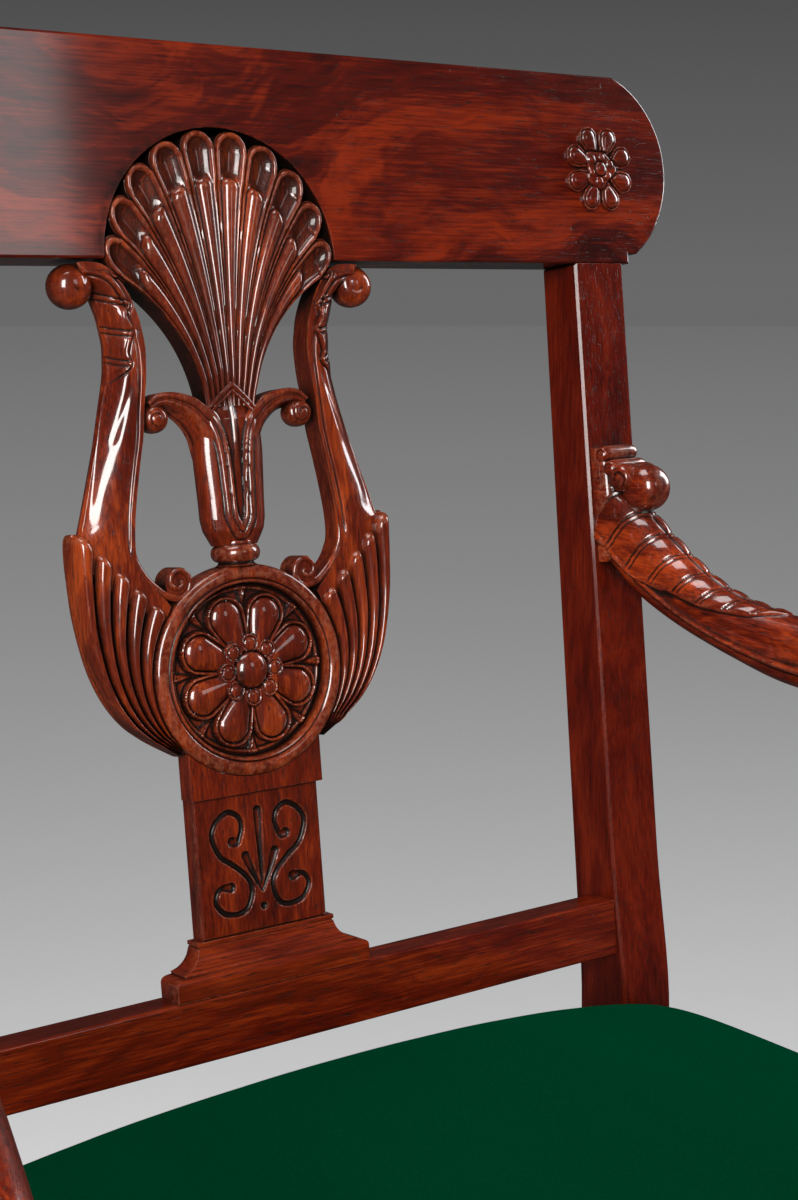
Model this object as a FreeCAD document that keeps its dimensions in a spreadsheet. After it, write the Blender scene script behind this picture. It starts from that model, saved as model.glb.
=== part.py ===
"""Regency lyre back elbow chair in mahogany, with a loose upholstered seat.

Millimetres. +Z is up, the chair faces -Y, and the origin is on the floor under the middle of the chair.
The back leans, so its pieces are drawn upright in a frame of their own and then tilted: X across, Y the
depth behind the top rail's front face, Z the height along the back from the top rail's lower front edge.
"""
import FreeCAD, Part
import math
import os
import re

import Sketcher
from FreeCAD import Matrix, Placement, Rotation, Vector

SIZES = (
    # The back as a whole
    ("rake_angle", 7.13, "lean of the back, degrees"),
    ("back_y", 228.4, "top rail's lower front edge, behind the origin"),
    ("back_rise", 388, "top rail's lower front edge, above the seat rails"),
    ("fit_gap", 0.2, "glue gap round tenons and scribed faces"),
    ("arris", 1.2, "rounding of sawn edges"),
    # Top rail
    ("rail_height", 93.7, "top rail, along the back"),
    ("rail_thickness", 26, "top rail, front to back"),
    ("rail_end_x", 214, "centre of the rail's rounded ends"),
    ("rail_end_radius", 50.2, "radius of the rail's rounded ends"),
    ("rail_quirk", 5, "height of the small square foot of the round"),
    ("rail_foot", 236, "half length of the rail's lower edge"),
    ("recess_radius", 57.5, "half-round recess for the fan"),
    ("recess_depth", 15.2, "depth of that recess"),
    # Stiles and rear legs
    ("stile_inner", 200, "inner face of the stiles from the middle"),
    ("stile_width", 31.5, "stile and rear leg, across"),
    ("stile_depth_top", 26.5, "stile depth under the top rail"),
    ("stile_depth_cross", 32, "stile depth at the cross rail"),
    ("leg_depth_seat", 36, "rear leg depth at the seat rails"),
    ("leg_depth_foot", 32, "rear leg depth at the floor"),
    ("rear_sweep", 79, "how far the rear foot stands behind the leg's face at the seat"),
    ("tenon_length", 20, "tenons of the rails"),
    ("back_tenon_length", 13, "tenons of the back seat rail, short of the side rails' tenons"),
    ("stile_tenon_length", 30, "tenon of the stile in the top rail"),
    ("stile_tenon_width", 20, "that tenon, across"),
    ("stile_tenon_depth", 13, "that tenon, front to back"),
    # Cross rail
    ("cross_top", 324, "cross rail's upper edge, below the top rail along the back"),
    ("cross_height", 28.4, "cross rail, along the back"),
    ("cross_front", 1, "cross rail's face behind the stiles' face"),
    ("cross_thickness", 19, "cross rail, front to back"),
    ("cross_cheek", 4, "shoulder all round the cross rail's tenon"),
    # Lyre splat
    ("splat_front", 2.5, "front of the carving behind the rail's face"),
    ("splat_back", 15.5, "back of the splat"),
    ("ring_drop", 182, "ring's centre below the top rail"),
    ("ring_radius", 47.6, "outer radius of the ring"),
    ("dish_radius", 39.8, "inner radius of the ring's band"),
    ("dish_floor", 9.5, "floor of the ring's dish behind the rail's face"),
    ("ring_round", 2, "rounding of the ring's band"),
    ("petal_circle", 27, "circle of the flower's petals"),
    ("petal_radius", 9.6, "flower petal"),
    ("cup_circle", 12.8, "circle of the inner cups"),
    ("cup_radius", 4.6, "inner cup"),
    ("boss_radius", 8.3, "flower boss"),
    ("flower_base", 1.8, "thickness of the flower's ground"),
    ("petal_rise", 3.6, "petals above that ground"),
    ("collar_drop", 129.4, "collar's middle below the top rail"),
    ("collar_depth", 10.5, "axis of the collar and lotus behind the rail's face"),
    ("collar_radius", 11.2, "collar bead"),
    ("collar_height", 7, "collar bead"),
    ("lotus_half_depth", 10, "lotus bud, half of front to back"),
    ("volute_radius", 5.6, "small volutes on the ring"),
    ("ball_radius", 9.5, "balls at the lyre's tips"),
    ("petal_ball", 6.2, "balls of the lotus petals"),
    ("petal_setback", 1, "lotus petals inside the splat's faces"),
    ("fan_front", 1, "fan's face behind the rail's face"),
    ("fan_lobes", 10, "lobes of the fan"),
    ("fan_lobe_circle", 48.3, "circle of the lobes' centres"),
    ("fan_lobe_radius", 7.7, "round end of a lobe"),
    # Pedestal of the lyre
    ("cap_half", 33.8, "pedestal cap, half width"),
    ("cap_top", 214.5, "cap's top below the top rail"),
    ("cap_bottom", 237.2, "cap's lower edge"),
    ("cap_front", 5.3, "cap's face behind the rail's face"),
    ("panel_half", 32.2, "pedestal panel, half width"),
    ("panel_front", 8, "panel's face behind the rail's face"),
    ("panel_bottom", 300.6, "panel's lower edge"),
    ("base_half", 50, "pedestal base block, half width"),
    ("base_front", 3, "base block's face behind the rail's face"),
    ("base_block", 11.6, "height of the base block"),
    ("base_fillet", 2, "small fillets above and below the cavetto"),
    ("base_rim", 2.6, "top of the moulding outside the panel"),
    ("stub_inset", 9, "the base's stub tenon inside the panel's width"),
    ("stub_length", 8, "length of that tenon"),
    # Rosettes on the top rail
    ("rosette_x", 218.5, "rosette centre from the middle"),
    ("rosette_height", 47, "rosette centre above the rail's lower edge"),
    ("rosette_base_radius", 17, "rosette ground"),
    ("rosette_base", 1.2, "thickness of that ground"),
    ("rosette_petal_circle", 16.6, "circle of its petals"),
    ("rosette_petal_radius", 5.6, "its petals"),
    ("rosette_petal_rise", 3.2, "its petals above the rail"),
    ("rosette_cup_circle", 8.2, "circle of its inner cups"),
    ("rosette_cup_radius", 2.8, "its inner cups"),
    ("rosette_boss_radius", 4.2, "its boss"),
    # Seat rails and legs
    ("seat_height", 440, "top of the seat rails above the floor"),
    ("seat_rail_height", 60, "seat rails"),
    ("seat_rail_thickness", 24, "seat rails"),
    ("seat_back_y", 178.4, "rear legs' front face at the seat"),
    ("seat_front_y", -236.6, "front rail's face"),
    ("seat_splay", 5, "splay of the side rails, degrees"),
    ("seat_lip", 10, "rail left outside the rebate"),
    ("rebate_depth", 15, "depth of the rebate for the seat"),
    ("front_rail_setback", 3, "front rail's face behind the legs' foremost corners"),
    ("rail_tenon_thickness", 9, "tenons of the seat rails"),
    ("back_rail_setback", 4, "back seat rail's face behind the legs' face"),
    ("bearer_width", 15.8, "rear seat bearer"),
    ("bearer_height", 20, "rear seat bearer"),
    ("front_leg_width", 36, "front leg, across"),
    ("front_leg_depth", 40, "front leg at the seat rail"),
    ("front_leg_toe", 30, "front leg at the floor, front to back"),
    ("front_sweep", 50, "how far the toe stands before the rail"),
    ("block_side", 52, "corner blocks, along each rail"),
    ("block_height", 38, "corner blocks"),
    ("block_drop", 3, "corner blocks below the rebate"),
    ("tenon_foot", 8, "seat rail tenons above the rails' lower edge"),
    ("tenon_head", 6, "seat rail tenons below the rebate"),
    # Arms and their supports
    ("arm_width", 26, "arms and supports, across"),
    ("arm_splay", 7.7, "arms, degrees from straight ahead"),
    ("arm_root_x", 213.3, "arm's middle line at the back's face"),
    ("arm_ball_radius", 11.5, "ball scroll at the stile"),
    ("arm_volute_radius", 20, "volute at the front of the arm"),
    ("arm_volute_reach", 372, "volute's centre before the top rail's edge"),
    ("arm_volute_drop", 238, "volute's centre below the top rail's edge"),
    ("arm_round", 5, "rounding of the arm's long edges"),
    ("support_lap", 17, "support outside the side rail's face"),
    ("support_reach", 52, "how far the lap runs down the rail"),
    ("support_setback", 44, "middle of the lap behind the front leg's block"),
    ("screw_radius", 2.2, "wood screws"),
    ("screw_head_radius", 4.4, "heads of the screws"),
    ("arm_screw_drop", 128, "arm screw below the top rail"),
    ("arm_screw_length", 52, "screw through the stile into the arm"),
    ("support_screw_length", 36, "screws through the rail into the support"),
    ("block_screw_length", 34, "screws through the corner blocks"),
    ("bearer_screw_length", 32, "screws through the bearer"),
    ("bearer_screw_span", 140, "outer bearer screws from the middle"),
    # Loose seat
    ("seat_play", 0.5, "gap round the covered seat in its rebate"),
    ("cloth_thickness", 0.8, "seat cloth"),
    ("frame_width", 45, "rails of the loose seat frame"),
    ("frame_thickness", 20, "rails of the loose seat frame"),
    ("seat_rear_gap", 2, "covered seat before the rear legs"),
    ("web_width", 50, "webbing"),
    ("web_thickness", 1.6, "webbing"),
    ("web_count", 4, "webs each way"),
    ("seat_edge", 8, "upright edge of the covered seat above the rails"),
    ("seat_roll", 15, "rise of the cushion's rounded edge"),
    ("seat_crown", 32, "rise of the cushion's crown above that edge"),
    ("tack_radius", 2.4, "tack heads under the seat"),
    ("tack_spacing", 55, "tacks under the seat"),
)
CROSS_LINE = 335  # how far down the back the stile has its depth at the cross rail
WEB_INSET = 12  # ends of the webs inside the seat frame's edge
CLOTH_INSET = 8  # base cloth inside the seat frame's edge
TACK_HEIGHT = 0.9
BLOCK_SCREW_SHARE = 0.16  # screw heads behind a corner block's middle, as a share of its side
NAMES = {name for name, number, meaning in SIZES}
FEATURES = []

doc = FreeCAD.newDocument("lyre_back_chair")
sheet = doc.addObject("Spreadsheet::Sheet", "Sizes")


def fill_sheet():
    """Write each driving dimension, its name and its meaning into the sheet."""
    for row, (name, number, meaning) in enumerate(SIZES, start=1):
        sheet.set(f"A{row}", meaning)
        sheet.set(f"B{row}", str(number))
        sheet.setAlias(f"B{row}", name)
    doc.recompute()


def full(words):
    """Put the sheet's name before each size name in an expression."""
    return re.sub(r"[a-z_]+", lambda found: "Sizes." * (found.group() in NAMES) + found.group(), str(words))


def size(words):
    """Read an expression of sizes as a number."""
    return float(sheet.evalExpression(full(words)))


def bind(thing, words_by_property):
    """Tie properties of a feature to expressions of sizes."""
    for name, words in words_by_property.items():
        thing.setExpression(name, full(words))


def back_frame(across=0.0, depth=0.0, height=0.0):
    """Give the placement of the leaning back, or of a point in it."""
    corner = Vector(0, size("back_y"), size("seat_height + back_rise"))
    lean = Placement(corner, Rotation(Vector(1, 0, 0), -size("rake_angle")))
    return lean.multiply(Placement(Vector(across, depth, height), Rotation()))


def back_point(depth, height):
    """Turn a depth and height in the leaning back into a world point on the middle plane."""
    return back_frame(0, depth, height).Base


def new_body(label, place=None):
    """Start a PartDesign body."""
    body = doc.addObject("PartDesign::Body", label)
    body.Label = label
    if place is not None:
        body.Placement = place
    FEATURES.append(body)
    return body


def primitive(body, kind, name, corner, sizes, turn=None):
    """Add a PartDesign primitive to a body, with its corner and sizes tied to the sheet."""
    feature = body.newObject("PartDesign::" + kind, name)
    if turn is not None:
        feature.Placement = Placement(Vector(), turn)
    before = body_volume(body)
    bind(feature, dict(zip(("Placement.Base.x", "Placement.Base.y", "Placement.Base.z"), corner)))
    bind(feature, sizes)
    doc.recompute()
    if abs(body_volume(body) - before) < 1e-3:
        raise RuntimeError(f"{name} changes nothing")
    return feature


def body_volume(body):
    """Give the volume of a body so far, nothing for an empty one."""
    tip = body.Tip
    if tip is None or not hasattr(tip, "Shape") or tip.Shape.isNull():
        return 0.0
    return tip.Shape.Volume


def block(body, name, low, sides, cut=False):
    """Add or cut a box given by its low corner and its three sides."""
    kind = "SubtractiveBox" if cut else "AdditiveBox"
    return primitive(body, kind, name, low, dict(zip(("Length", "Width", "Height"), sides)))


def rod(body, name, start, radius, length, cut=False):
    """Add or cut a cylinder that runs from its start towards +Y."""
    kind = "SubtractiveCylinder" if cut else "AdditiveCylinder"
    along_y = Rotation(Vector(1, 0, 0), -90)
    return primitive(body, kind, name, start, {"Radius": radius, "Height": length}, along_y)


def outline(body, name, role, corners):
    """Draw a closed outline on one of the body's planes, each corner tied to a pair of expressions."""
    drawing = body.newObject("Sketcher::SketchObject", name)
    plane = next(feature for feature in body.Origin.OriginFeatures if feature.Role == role)
    drawing.AttachmentSupport = [(plane, "")]
    drawing.MapMode = "FlatFace"
    places = [Vector(size(across), size(up), 0) for across, up in corners]
    count = len(places)
    for index, place in enumerate(places):
        drawing.addGeometry(Part.LineSegment(place, places[(index + 1) % count]), False)
    for index in range(count):
        drawing.addConstraint(Sketcher.Constraint("Coincident", index, 2, (index + 1) % count, 1))
    for index, (words, place) in enumerate(zip(corners, places)):
        for kind, expression, number in zip(("DistanceX", "DistanceY"), words, (place.x, place.y)):
            known = drawing.addConstraint(Sketcher.Constraint(kind, -1, 1, index, 1, number))
            drawing.setExpression(f"Constraints[{known}]", full(expression))
    return drawing


def turned(body, name, role, corners, axis):
    """Revolve a closed outline about the horizontal or the vertical axis of its sketch."""
    drawing = outline(body, name + "_profile", role, corners)
    feature = body.newObject("PartDesign::Revolution", name)
    feature.Profile = drawing
    feature.ReferenceAxis = (drawing, [axis])
    feature.Angle = 360
    doc.recompute()
    return feature


def ring_of(body, name, original, count):
    """Repeat a feature evenly about the body's own Y axis."""
    pattern = body.newObject("PartDesign::PolarPattern", name)
    pattern.Originals = [original]
    axis = next(feature for feature in body.Origin.OriginFeatures if feature.Role == "Y_Axis")
    pattern.Axis = (axis, [""])
    pattern.Angle = 360
    pattern.Occurrences = count
    before = body_volume(body)
    body.Tip = pattern
    doc.recompute()
    if abs(body_volume(body) - before) < 1e-3:
        raise RuntimeError(f"{name} repeats nothing")
    return pattern


def soften(body, name, radius, wanted):
    """Round the edges of a body's last feature that a test picks."""
    base = body.Tip
    names = [f"Edge{number}" for number, edge in enumerate(base.Shape.Edges, start=1) if wanted(edge)]
    feature = body.newObject("PartDesign::Fillet", name)
    feature.Base = (base, names)
    bind(feature, {"Radius": radius})
    doc.recompute()
    return feature


def lies_on(edge, coordinate, number):
    """Say whether an edge lies wholly at one x, y or z."""
    box = edge.BoundBox
    low = getattr(box, coordinate + "Min")
    high = getattr(box, coordinate + "Max")
    return abs(low - number) < 1e-4 and abs(high - number) < 1e-4


def shaped(label, shape, place=None):
    """Keep a sub-part whose shape is worked out from the sheet's sizes."""
    feature = doc.addObject("Part::Feature", label)
    feature.Label = label
    feature.Shape = shape.Solids[0] if len(shape.Solids) == 1 else shape
    if place is not None:
        feature.Placement = place
    FEATURES.append(feature)
    return feature


def mirrored(label, source):
    """Mirror a right-hand sub-part into its left-hand partner."""
    feature = doc.addObject("Part::Mirroring", label)
    feature.Source = source
    feature.Normal = Vector(1, 0, 0)
    feature.Label = label
    doc.recompute()
    FEATURES.append(feature)
    return feature


def box_shape(low, high):
    """Make a plain box between two corners, for shapes worked out in code."""
    sides = high.sub(low)
    return Part.makeBox(sides.x, sides.y, sides.z, low)


def spline(points, start=None, end=None):
    """Draw a smooth edge through points, with end directions where they are given."""
    curve = Part.BSplineCurve()
    if start is None:
        curve.interpolate(points)
    else:
        curve.interpolate(Points=points, InitialTangent=start, FinalTangent=end)
    return curve.toShape()


def straight(start, end):
    """Draw a straight edge."""
    return Part.LineSegment(start, end).toShape()


def filled(edges):
    """Close a chain of edges into a flat face."""
    return Part.Face(Part.Wire(Part.__sortEdges__(edges)))


def extruded(face, low, high):
    """Extrude a face in the XZ plane from one depth to another."""
    solid = face.extrude(Vector(0, high - low, 0))
    solid.translate(Vector(0, low, 0))
    return solid


def screw_shape(length, extra=0.0):
    """Make a countersunk screw along +Y, its head's face at the origin, grown for a hole."""
    shank = size("screw_radius") + extra
    head = size("screw_head_radius") + extra
    sink = head - shank
    cone = Part.makeCone(head, shank, sink, Vector(), Vector(0, 1, 0))
    stem = Part.makeCylinder(shank, length + extra, Vector(), Vector(0, 1, 0))
    return cone.fuse(stem).removeSplitter()


def placed(shape, place):
    """Give a moved copy of a shape."""
    copy = shape.copy()
    copy.Placement = place.multiply(copy.Placement)
    return copy


def both_sides(shapes):
    """Give shapes and their mirror images as one group of solids."""
    flip = Matrix()
    flip.scale(-1, 1, 1)
    images = [shape.transformGeometry(flip) for shape in shapes]
    return Part.makeCompound(list(shapes) + images)


# The back: top rail, rosettes, stiles with rear legs, cross rail


def make_top_rail():
    """Model the crest rail with round ends, the fan's recess and two mortises."""
    body = new_body("top_rail", back_frame())
    for side, sign in (("right", ""), ("left", "-")):
        centre = (f"{sign}rail_end_x", "0", "rail_height / 2")
        rod(body, f"end_{side}", centre, "rail_end_radius", "rail_thickness")
        if side == "right":
            bar = ("2 * rail_end_x", "rail_thickness", "rail_height")
            block(body, "bar", ("-rail_end_x", "0", "0"), bar)
    reach = "rail_end_x + rail_end_radius"
    left_end = f"-({reach}) - 1"
    waste = (f"2 * ({reach}) + 2", "rail_thickness + 2", "rail_end_radius")
    block(body, "top_trim", (left_end, "-1", "rail_height"), waste, cut=True)
    block(body, "low_trim", (left_end, "-1", "-rail_end_radius"), waste, cut=True)
    quirk = ("rail_end_radius", "rail_thickness + 2", "rail_quirk")
    block(body, "quirk_right", ("rail_foot", "-1", "0"), quirk, cut=True)
    block(body, "quirk_left", ("-rail_foot - rail_end_radius", "-1", "0"), quirk, cut=True)
    feet = ("2 * rail_foot", "rail_thickness", "rail_quirk")
    block(body, "feet", ("-rail_foot", "0", "0"), feet)
    front_edges = [size("rail_thickness"), 0.0]
    soften(body, "arrises", "arris", lambda edge: any(lies_on(edge, "Y", depth) for depth in front_edges))
    rod(body, "recess", ("0", "-0.01", "0"), "recess_radius", "recess_depth + 0.01", cut=True)
    mortise = (
        "stile_tenon_width + 2 * fit_gap",
        "stile_tenon_depth + 2 * fit_gap",
        "stile_tenon_length + fit_gap + 1",
    )
    depth = "(stile_depth_top - stile_tenon_depth) / 2 - fit_gap"
    for side, sign in (("right", ""), ("left", "-")):
        middle = f"{sign}(stile_inner + stile_width / 2)"
        low = (f"{middle} - stile_tenon_width / 2 - fit_gap", depth, "-1")
        block(body, f"mortise_{side}", low, mortise, cut=True)


def flower(body, sizes, front):
    """Model an eight-petalled flower that grows towards -Y from its ground."""
    rod(body, "ground", ("0", f"{front} - ({sizes['base']})", "0"), sizes["base_radius"], sizes["base"])
    tips = f"{front} - ({sizes['base']}) - ({sizes['rise']})"
    grip = f"({sizes['rise']}) + ({sizes['base']}) / 2"
    for name, turn, circle, radius in (
        ("petal", 22.5, sizes["petal_circle"], sizes["petal_radius"]),
        ("cup", 0, sizes["cup_circle"], sizes["cup_radius"]),
    ):
        across = f"({circle}) * cos({turn})"
        up = f"({circle}) * sin({turn})"
        single = rod(body, name, (across, tips, up), radius, grip)
        ring_of(body, name + "_ring", single, 8)
    rod(body, "boss_stem", ("0", tips, "0"), sizes["boss_radius"], grip)
    towards_front = Rotation(Vector(1, 0, 0), 90)
    dome = {"Radius": sizes["boss_radius"], "Angle1": "0", "Angle2": "90"}
    primitive(body, "AdditiveSphere", "boss", ("0", tips, "0"), dome, towards_front)


def make_rosettes():
    """Model the applied rosette of the top rail, and its mirror image."""
    body = new_body("rail_rosette_right", back_frame(size("rosette_x"), 0, size("rosette_height")))
    flower(
        body,
        {
            "base": "rosette_base",
            "base_radius": "rosette_base_radius",
            "rise": "rosette_petal_rise - rosette_base",
            "petal_circle": "rosette_petal_circle",
            "petal_radius": "rosette_petal_radius",
            "cup_circle": "rosette_cup_circle",
            "cup_radius": "rosette_cup_radius",
            "boss_radius": "rosette_boss_radius",
        },
        "0",
    )
    mirrored("rail_rosette_left", body)


def rear_leg_outline():
    """Draw the side view of a stile and rear leg: raked above, swept back below."""
    top_front = back_point(0, 0)
    top_back = back_point(size("stile_depth_top"), 0)
    face_y = size("seat_back_y")
    rail_top = size("seat_height")
    rail_low = rail_top - size("seat_rail_height")
    lean = back_point(0, -1).sub(back_point(0, 0))
    knee_front = back_point(-2.2, -353)
    straight_front = back_point(0, -302)
    seat_front = Vector(0, face_y, rail_top - 2)
    low_front = Vector(0, face_y, rail_low)
    sweep = size("rear_sweep")
    foot_front = Vector(0, face_y + sweep, 0)
    foot_back = Vector(0, face_y + sweep + size("leg_depth_foot"), 0)
    down = Vector(0, 0, -1)
    kick = Vector(0, 0.36, -1)
    front_curve = [
        low_front,
        Vector(0, face_y + 0.14 * sweep, 0.72 * rail_low),
        Vector(0, face_y + 0.47 * sweep, 0.37 * rail_low),
        foot_front,
    ]
    seat_back = Vector(0, face_y + size("leg_depth_seat"), rail_top)
    low_back = Vector(0, seat_back.y, rail_low)
    back_curve = [
        low_back,
        Vector(0, seat_back.y + 0.11 * sweep, 0.72 * rail_low),
        Vector(0, seat_back.y + 0.42 * sweep, 0.37 * rail_low),
        foot_back,
    ]
    cross_back = back_point(size("stile_depth_cross"), -CROSS_LINE)
    return filled(
        [
            straight(top_front, straight_front),
            spline([straight_front, knee_front, seat_front], lean, down),
            straight(seat_front, low_front),
            spline(front_curve, down, kick),
            straight(foot_front, foot_back),
            spline(back_curve, down, kick),
            straight(low_back, seat_back),
            spline([cross_back, seat_back], cross_back.sub(top_back), down),
            straight(cross_back, top_back),
            straight(top_back, top_front),
        ]
    )


def make_rear_legs(tools):
    """Model the right stile and rear leg in one piece, with its tenon, mortises and screw hole."""
    inner = size("stile_inner")
    width = size("stile_width")
    leg = rear_leg_outline().extrude(Vector(width, 0, 0))
    leg.translate(Vector(inner, 0, 0))
    rims = [edge for edge in leg.Edges if lies_on(edge, "X", inner) or lies_on(edge, "X", inner + width)]
    leg = leg.makeChamfer(size("arris"), rims)
    half = size("stile_tenon_width") / 2
    middle = inner + width / 2
    near = (size("stile_depth_top") - size("stile_tenon_depth")) / 2
    low = Vector(middle - half, near, -3)
    high = Vector(middle + half, near + size("stile_tenon_depth"), size("stile_tenon_length"))
    leg = leg.fuse(placed(box_shape(low, high), back_frame())).removeSplitter()
    for tool in tools:
        leg = leg.cut(tool)
    right = shaped("rear_leg_right", leg)
    mirrored("rear_leg_left", right)


def cross_tenon(extra=0.0):
    """Give the sizes of the cross rail's long tenon, grown for its mortise."""
    reach = size("stile_inner + tenon_length") + extra
    front = size("cross_front + cross_cheek") - extra
    back = size("cross_front + cross_thickness - cross_cheek") + extra
    low = -size("cross_top + cross_height - cross_cheek") - extra
    high = -size("cross_top + cross_cheek") + extra
    return Vector(-reach, front, low), Vector(reach, back, high)


def make_cross_rail():
    """Model the lower back rail with its tenons and the mortise for the pedestal."""
    body = new_body("cross_rail", back_frame())
    low = ("-stile_inner", "cross_front", "-cross_top - cross_height")
    block(body, "rail", low, ("2 * stile_inner", "cross_thickness", "cross_height"))
    soften(body, "arrises", "arris", lambda edge: edge.BoundBox.XLength > 100)
    tenon_low = (
        "-stile_inner - tenon_length",
        "cross_front + cross_cheek",
        "-cross_top - cross_height + cross_cheek",
    )
    tenon = (
        "2 * (stile_inner + tenon_length)",
        "cross_thickness - 2 * cross_cheek",
        "cross_height - 2 * cross_cheek",
    )
    block(body, "tenon", tenon_low, tenon)
    mortise_low = (
        "-panel_half + stub_inset - fit_gap",
        "base_front + stub_inset / 3 - fit_gap",
        "-cross_top - stub_length - fit_gap",
    )
    mortise = (
        "2 * (panel_half - stub_inset + fit_gap)",
        "splat_back - base_front - 2 * stub_inset / 3 + 2 * fit_gap",
        "stub_length + fit_gap + 1",
    )
    block(body, "mortise", mortise_low, mortise, cut=True)


# The lyre: fan, lotus, collar, limbs, ring, flower and pedestal


def across(points):
    """Turn pairs of across and height into points of the back's front plane."""
    return [Vector(x, 0, height) for x, height in points]


def flipped(points):
    """Mirror points across the middle."""
    return [Vector(-point.x, point.y, point.z) for point in points]


def fan_solid(low, high, extra=0.0):
    """Make the fan's block: a lobed half round that sweeps in to the narrow stem."""
    stem = across([(54.5, -4.6), (44, -10.4), (27.5, -25), (14.9, -45), (11.9, -59.8)])
    stem = [point.add(Vector(extra, 0, 0)) for point in stem]
    left_stem = flipped(stem)
    hub = Vector()
    sweep = filled([
        spline(stem),
        straight(stem[-1], left_stem[-1]),
        spline(left_stem),
        straight(stem[0], hub),
        straight(left_stem[0], hub),
    ])
    rim = size("fan_lobe_circle")
    lobe = size("fan_lobe_radius") + extra
    along = Vector(0, 1, 0)
    disc = Part.makeCylinder(rim + extra, high - low, Vector(0, low, 0), along)
    below = box_shape(Vector(-2 * rim, low - 1, -2 * rim), Vector(2 * rim, high + 1, stem[0].z))
    parts = [disc.cut(below)]
    count = int(size("fan_lobes"))
    for number in range(count):
        angle = math.pi * (number + 0.5) / count
        centre = Vector(rim * math.cos(angle), low, rim * math.sin(angle))
        parts.append(Part.makeCylinder(lobe, high - low, centre, along))
    return extruded(sweep, low, high).fuse(parts).removeSplitter()


def make_fan():
    """Model the fan as a lobed board; its reeds are carving."""
    shaped("lyre_fan", fan_solid(size("fan_front"), size("recess_depth - fit_gap")), back_frame())


def lotus_ellipse(half_width, height):
    """Draw one level section of the lotus bud."""
    half_depth = min(size("lotus_half_depth"), half_width * 0.9)
    centre = Vector(0, size("collar_depth"), height)
    side = centre.add(Vector(half_width, 0, 0))
    ellipse = Part.Ellipse(side, centre.add(Vector(0, half_depth, 0)), centre)
    return Part.Wire(ellipse.toShape())


def make_lotus():
    """Model the lotus: a bud in the round, the chevron band and two petals that curl to balls."""
    bud_top = -60.2
    bud_foot = -size("collar_drop") + size("collar_height") / 2
    levels = ((11.6, bud_top), (16.2, -76), (15.4, -98), (15.3, -115), (10.2, bud_foot))
    bud = Part.makeLoft([lotus_ellipse(half, height) for half, height in levels], True, False)
    ball = size("petal_ball")
    ball_middle = Vector(37, 0, -68.7)
    upper = across([(9, -63.5), (17.5, -59.7), (25, -57.4), (33.5, -57.6), (40.6, -63.6)])
    lower = across([(29, -66.5), (22, -71.5), (17.6, -82), (15.2, -95)])
    petal = filled([
        spline(upper),
        straight(upper[-1], ball_middle),
        straight(ball_middle, lower[0]),
        spline(lower),
        straight(lower[-1], across([(9, -95)])[0]),
        straight(across([(9, -95)])[0], upper[0]),
    ])
    front = size("splat_front + petal_setback")
    back = size("splat_back - petal_setback")
    right = extruded(petal, front, back)
    start = Vector(ball_middle.x, front, ball_middle.z)
    scroll = Part.makeCylinder(ball, back - front, start, Vector(0, 1, 0))
    right = right.fuse(scroll)
    flip = Matrix()
    flip.scale(-1, 1, 1)
    left = right.transformGeometry(flip)
    lotus = bud.fuse([right, left]).removeSplitter()
    above = box_shape(Vector(-60, -30, bud_top - 0.001 + size("fit_gap")), Vector(60, 60, 0))
    lotus = lotus.cut(above)
    shaped("lyre_lotus", lotus, back_frame())


def make_collar():
    """Turn the bead between the lotus and the ring, scribed over the ring."""
    body = new_body("lyre_collar", back_frame(0, size("collar_depth"), -size("collar_drop")))
    neck = "-(ring_drop - collar_drop - ring_radius) - 3"
    turned(
        body,
        "bead",
        "XZ_Plane",
        (
            ("0", neck),
            ("collar_radius - 2", neck),
            ("collar_radius - 2", "-collar_height / 2"),
            ("collar_radius", "-collar_height / 4"),
            ("collar_radius", "collar_height / 4"),
            ("collar_radius - 2", "collar_height / 2"),
            ("0", "collar_height / 2"),
        ),
        "V_Axis",
    )
    drop = "-(ring_drop - collar_drop)"
    rod(body, "scribe", ("0", "-30", drop), "ring_radius + fit_gap", "60", cut=True)


def make_ring():
    """Turn the dished ring at the heart of the lyre."""
    body = new_body("patera_ring", back_frame(0, 0, -size("ring_drop")))
    turned(
        body,
        "dish",
        "YZ_Plane",
        (
            ("splat_back", "0"),
            ("splat_back", "ring_radius"),
            ("splat_front + ring_round", "ring_radius"),
            ("splat_front", "ring_radius - ring_round"),
            ("splat_front", "dish_radius + ring_round"),
            ("splat_front + ring_round", "dish_radius"),
            ("dish_floor", "dish_radius"),
            ("dish_floor", "0"),
        ),
        "H_Axis",
    )


def make_flower():
    """Model the flower that is glued in the ring's dish."""
    body = new_body("patera_flower", back_frame(0, 0, -size("ring_drop")))
    flower(
        body,
        {
            "base": "flower_base",
            "base_radius": "dish_radius - 2",
            "rise": "petal_rise",
            "petal_circle": "petal_circle",
            "petal_radius": "petal_radius",
            "cup_circle": "cup_circle",
            "cup_radius": "cup_radius",
            "boss_radius": "boss_radius",
        },
        "dish_floor",
    )


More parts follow.
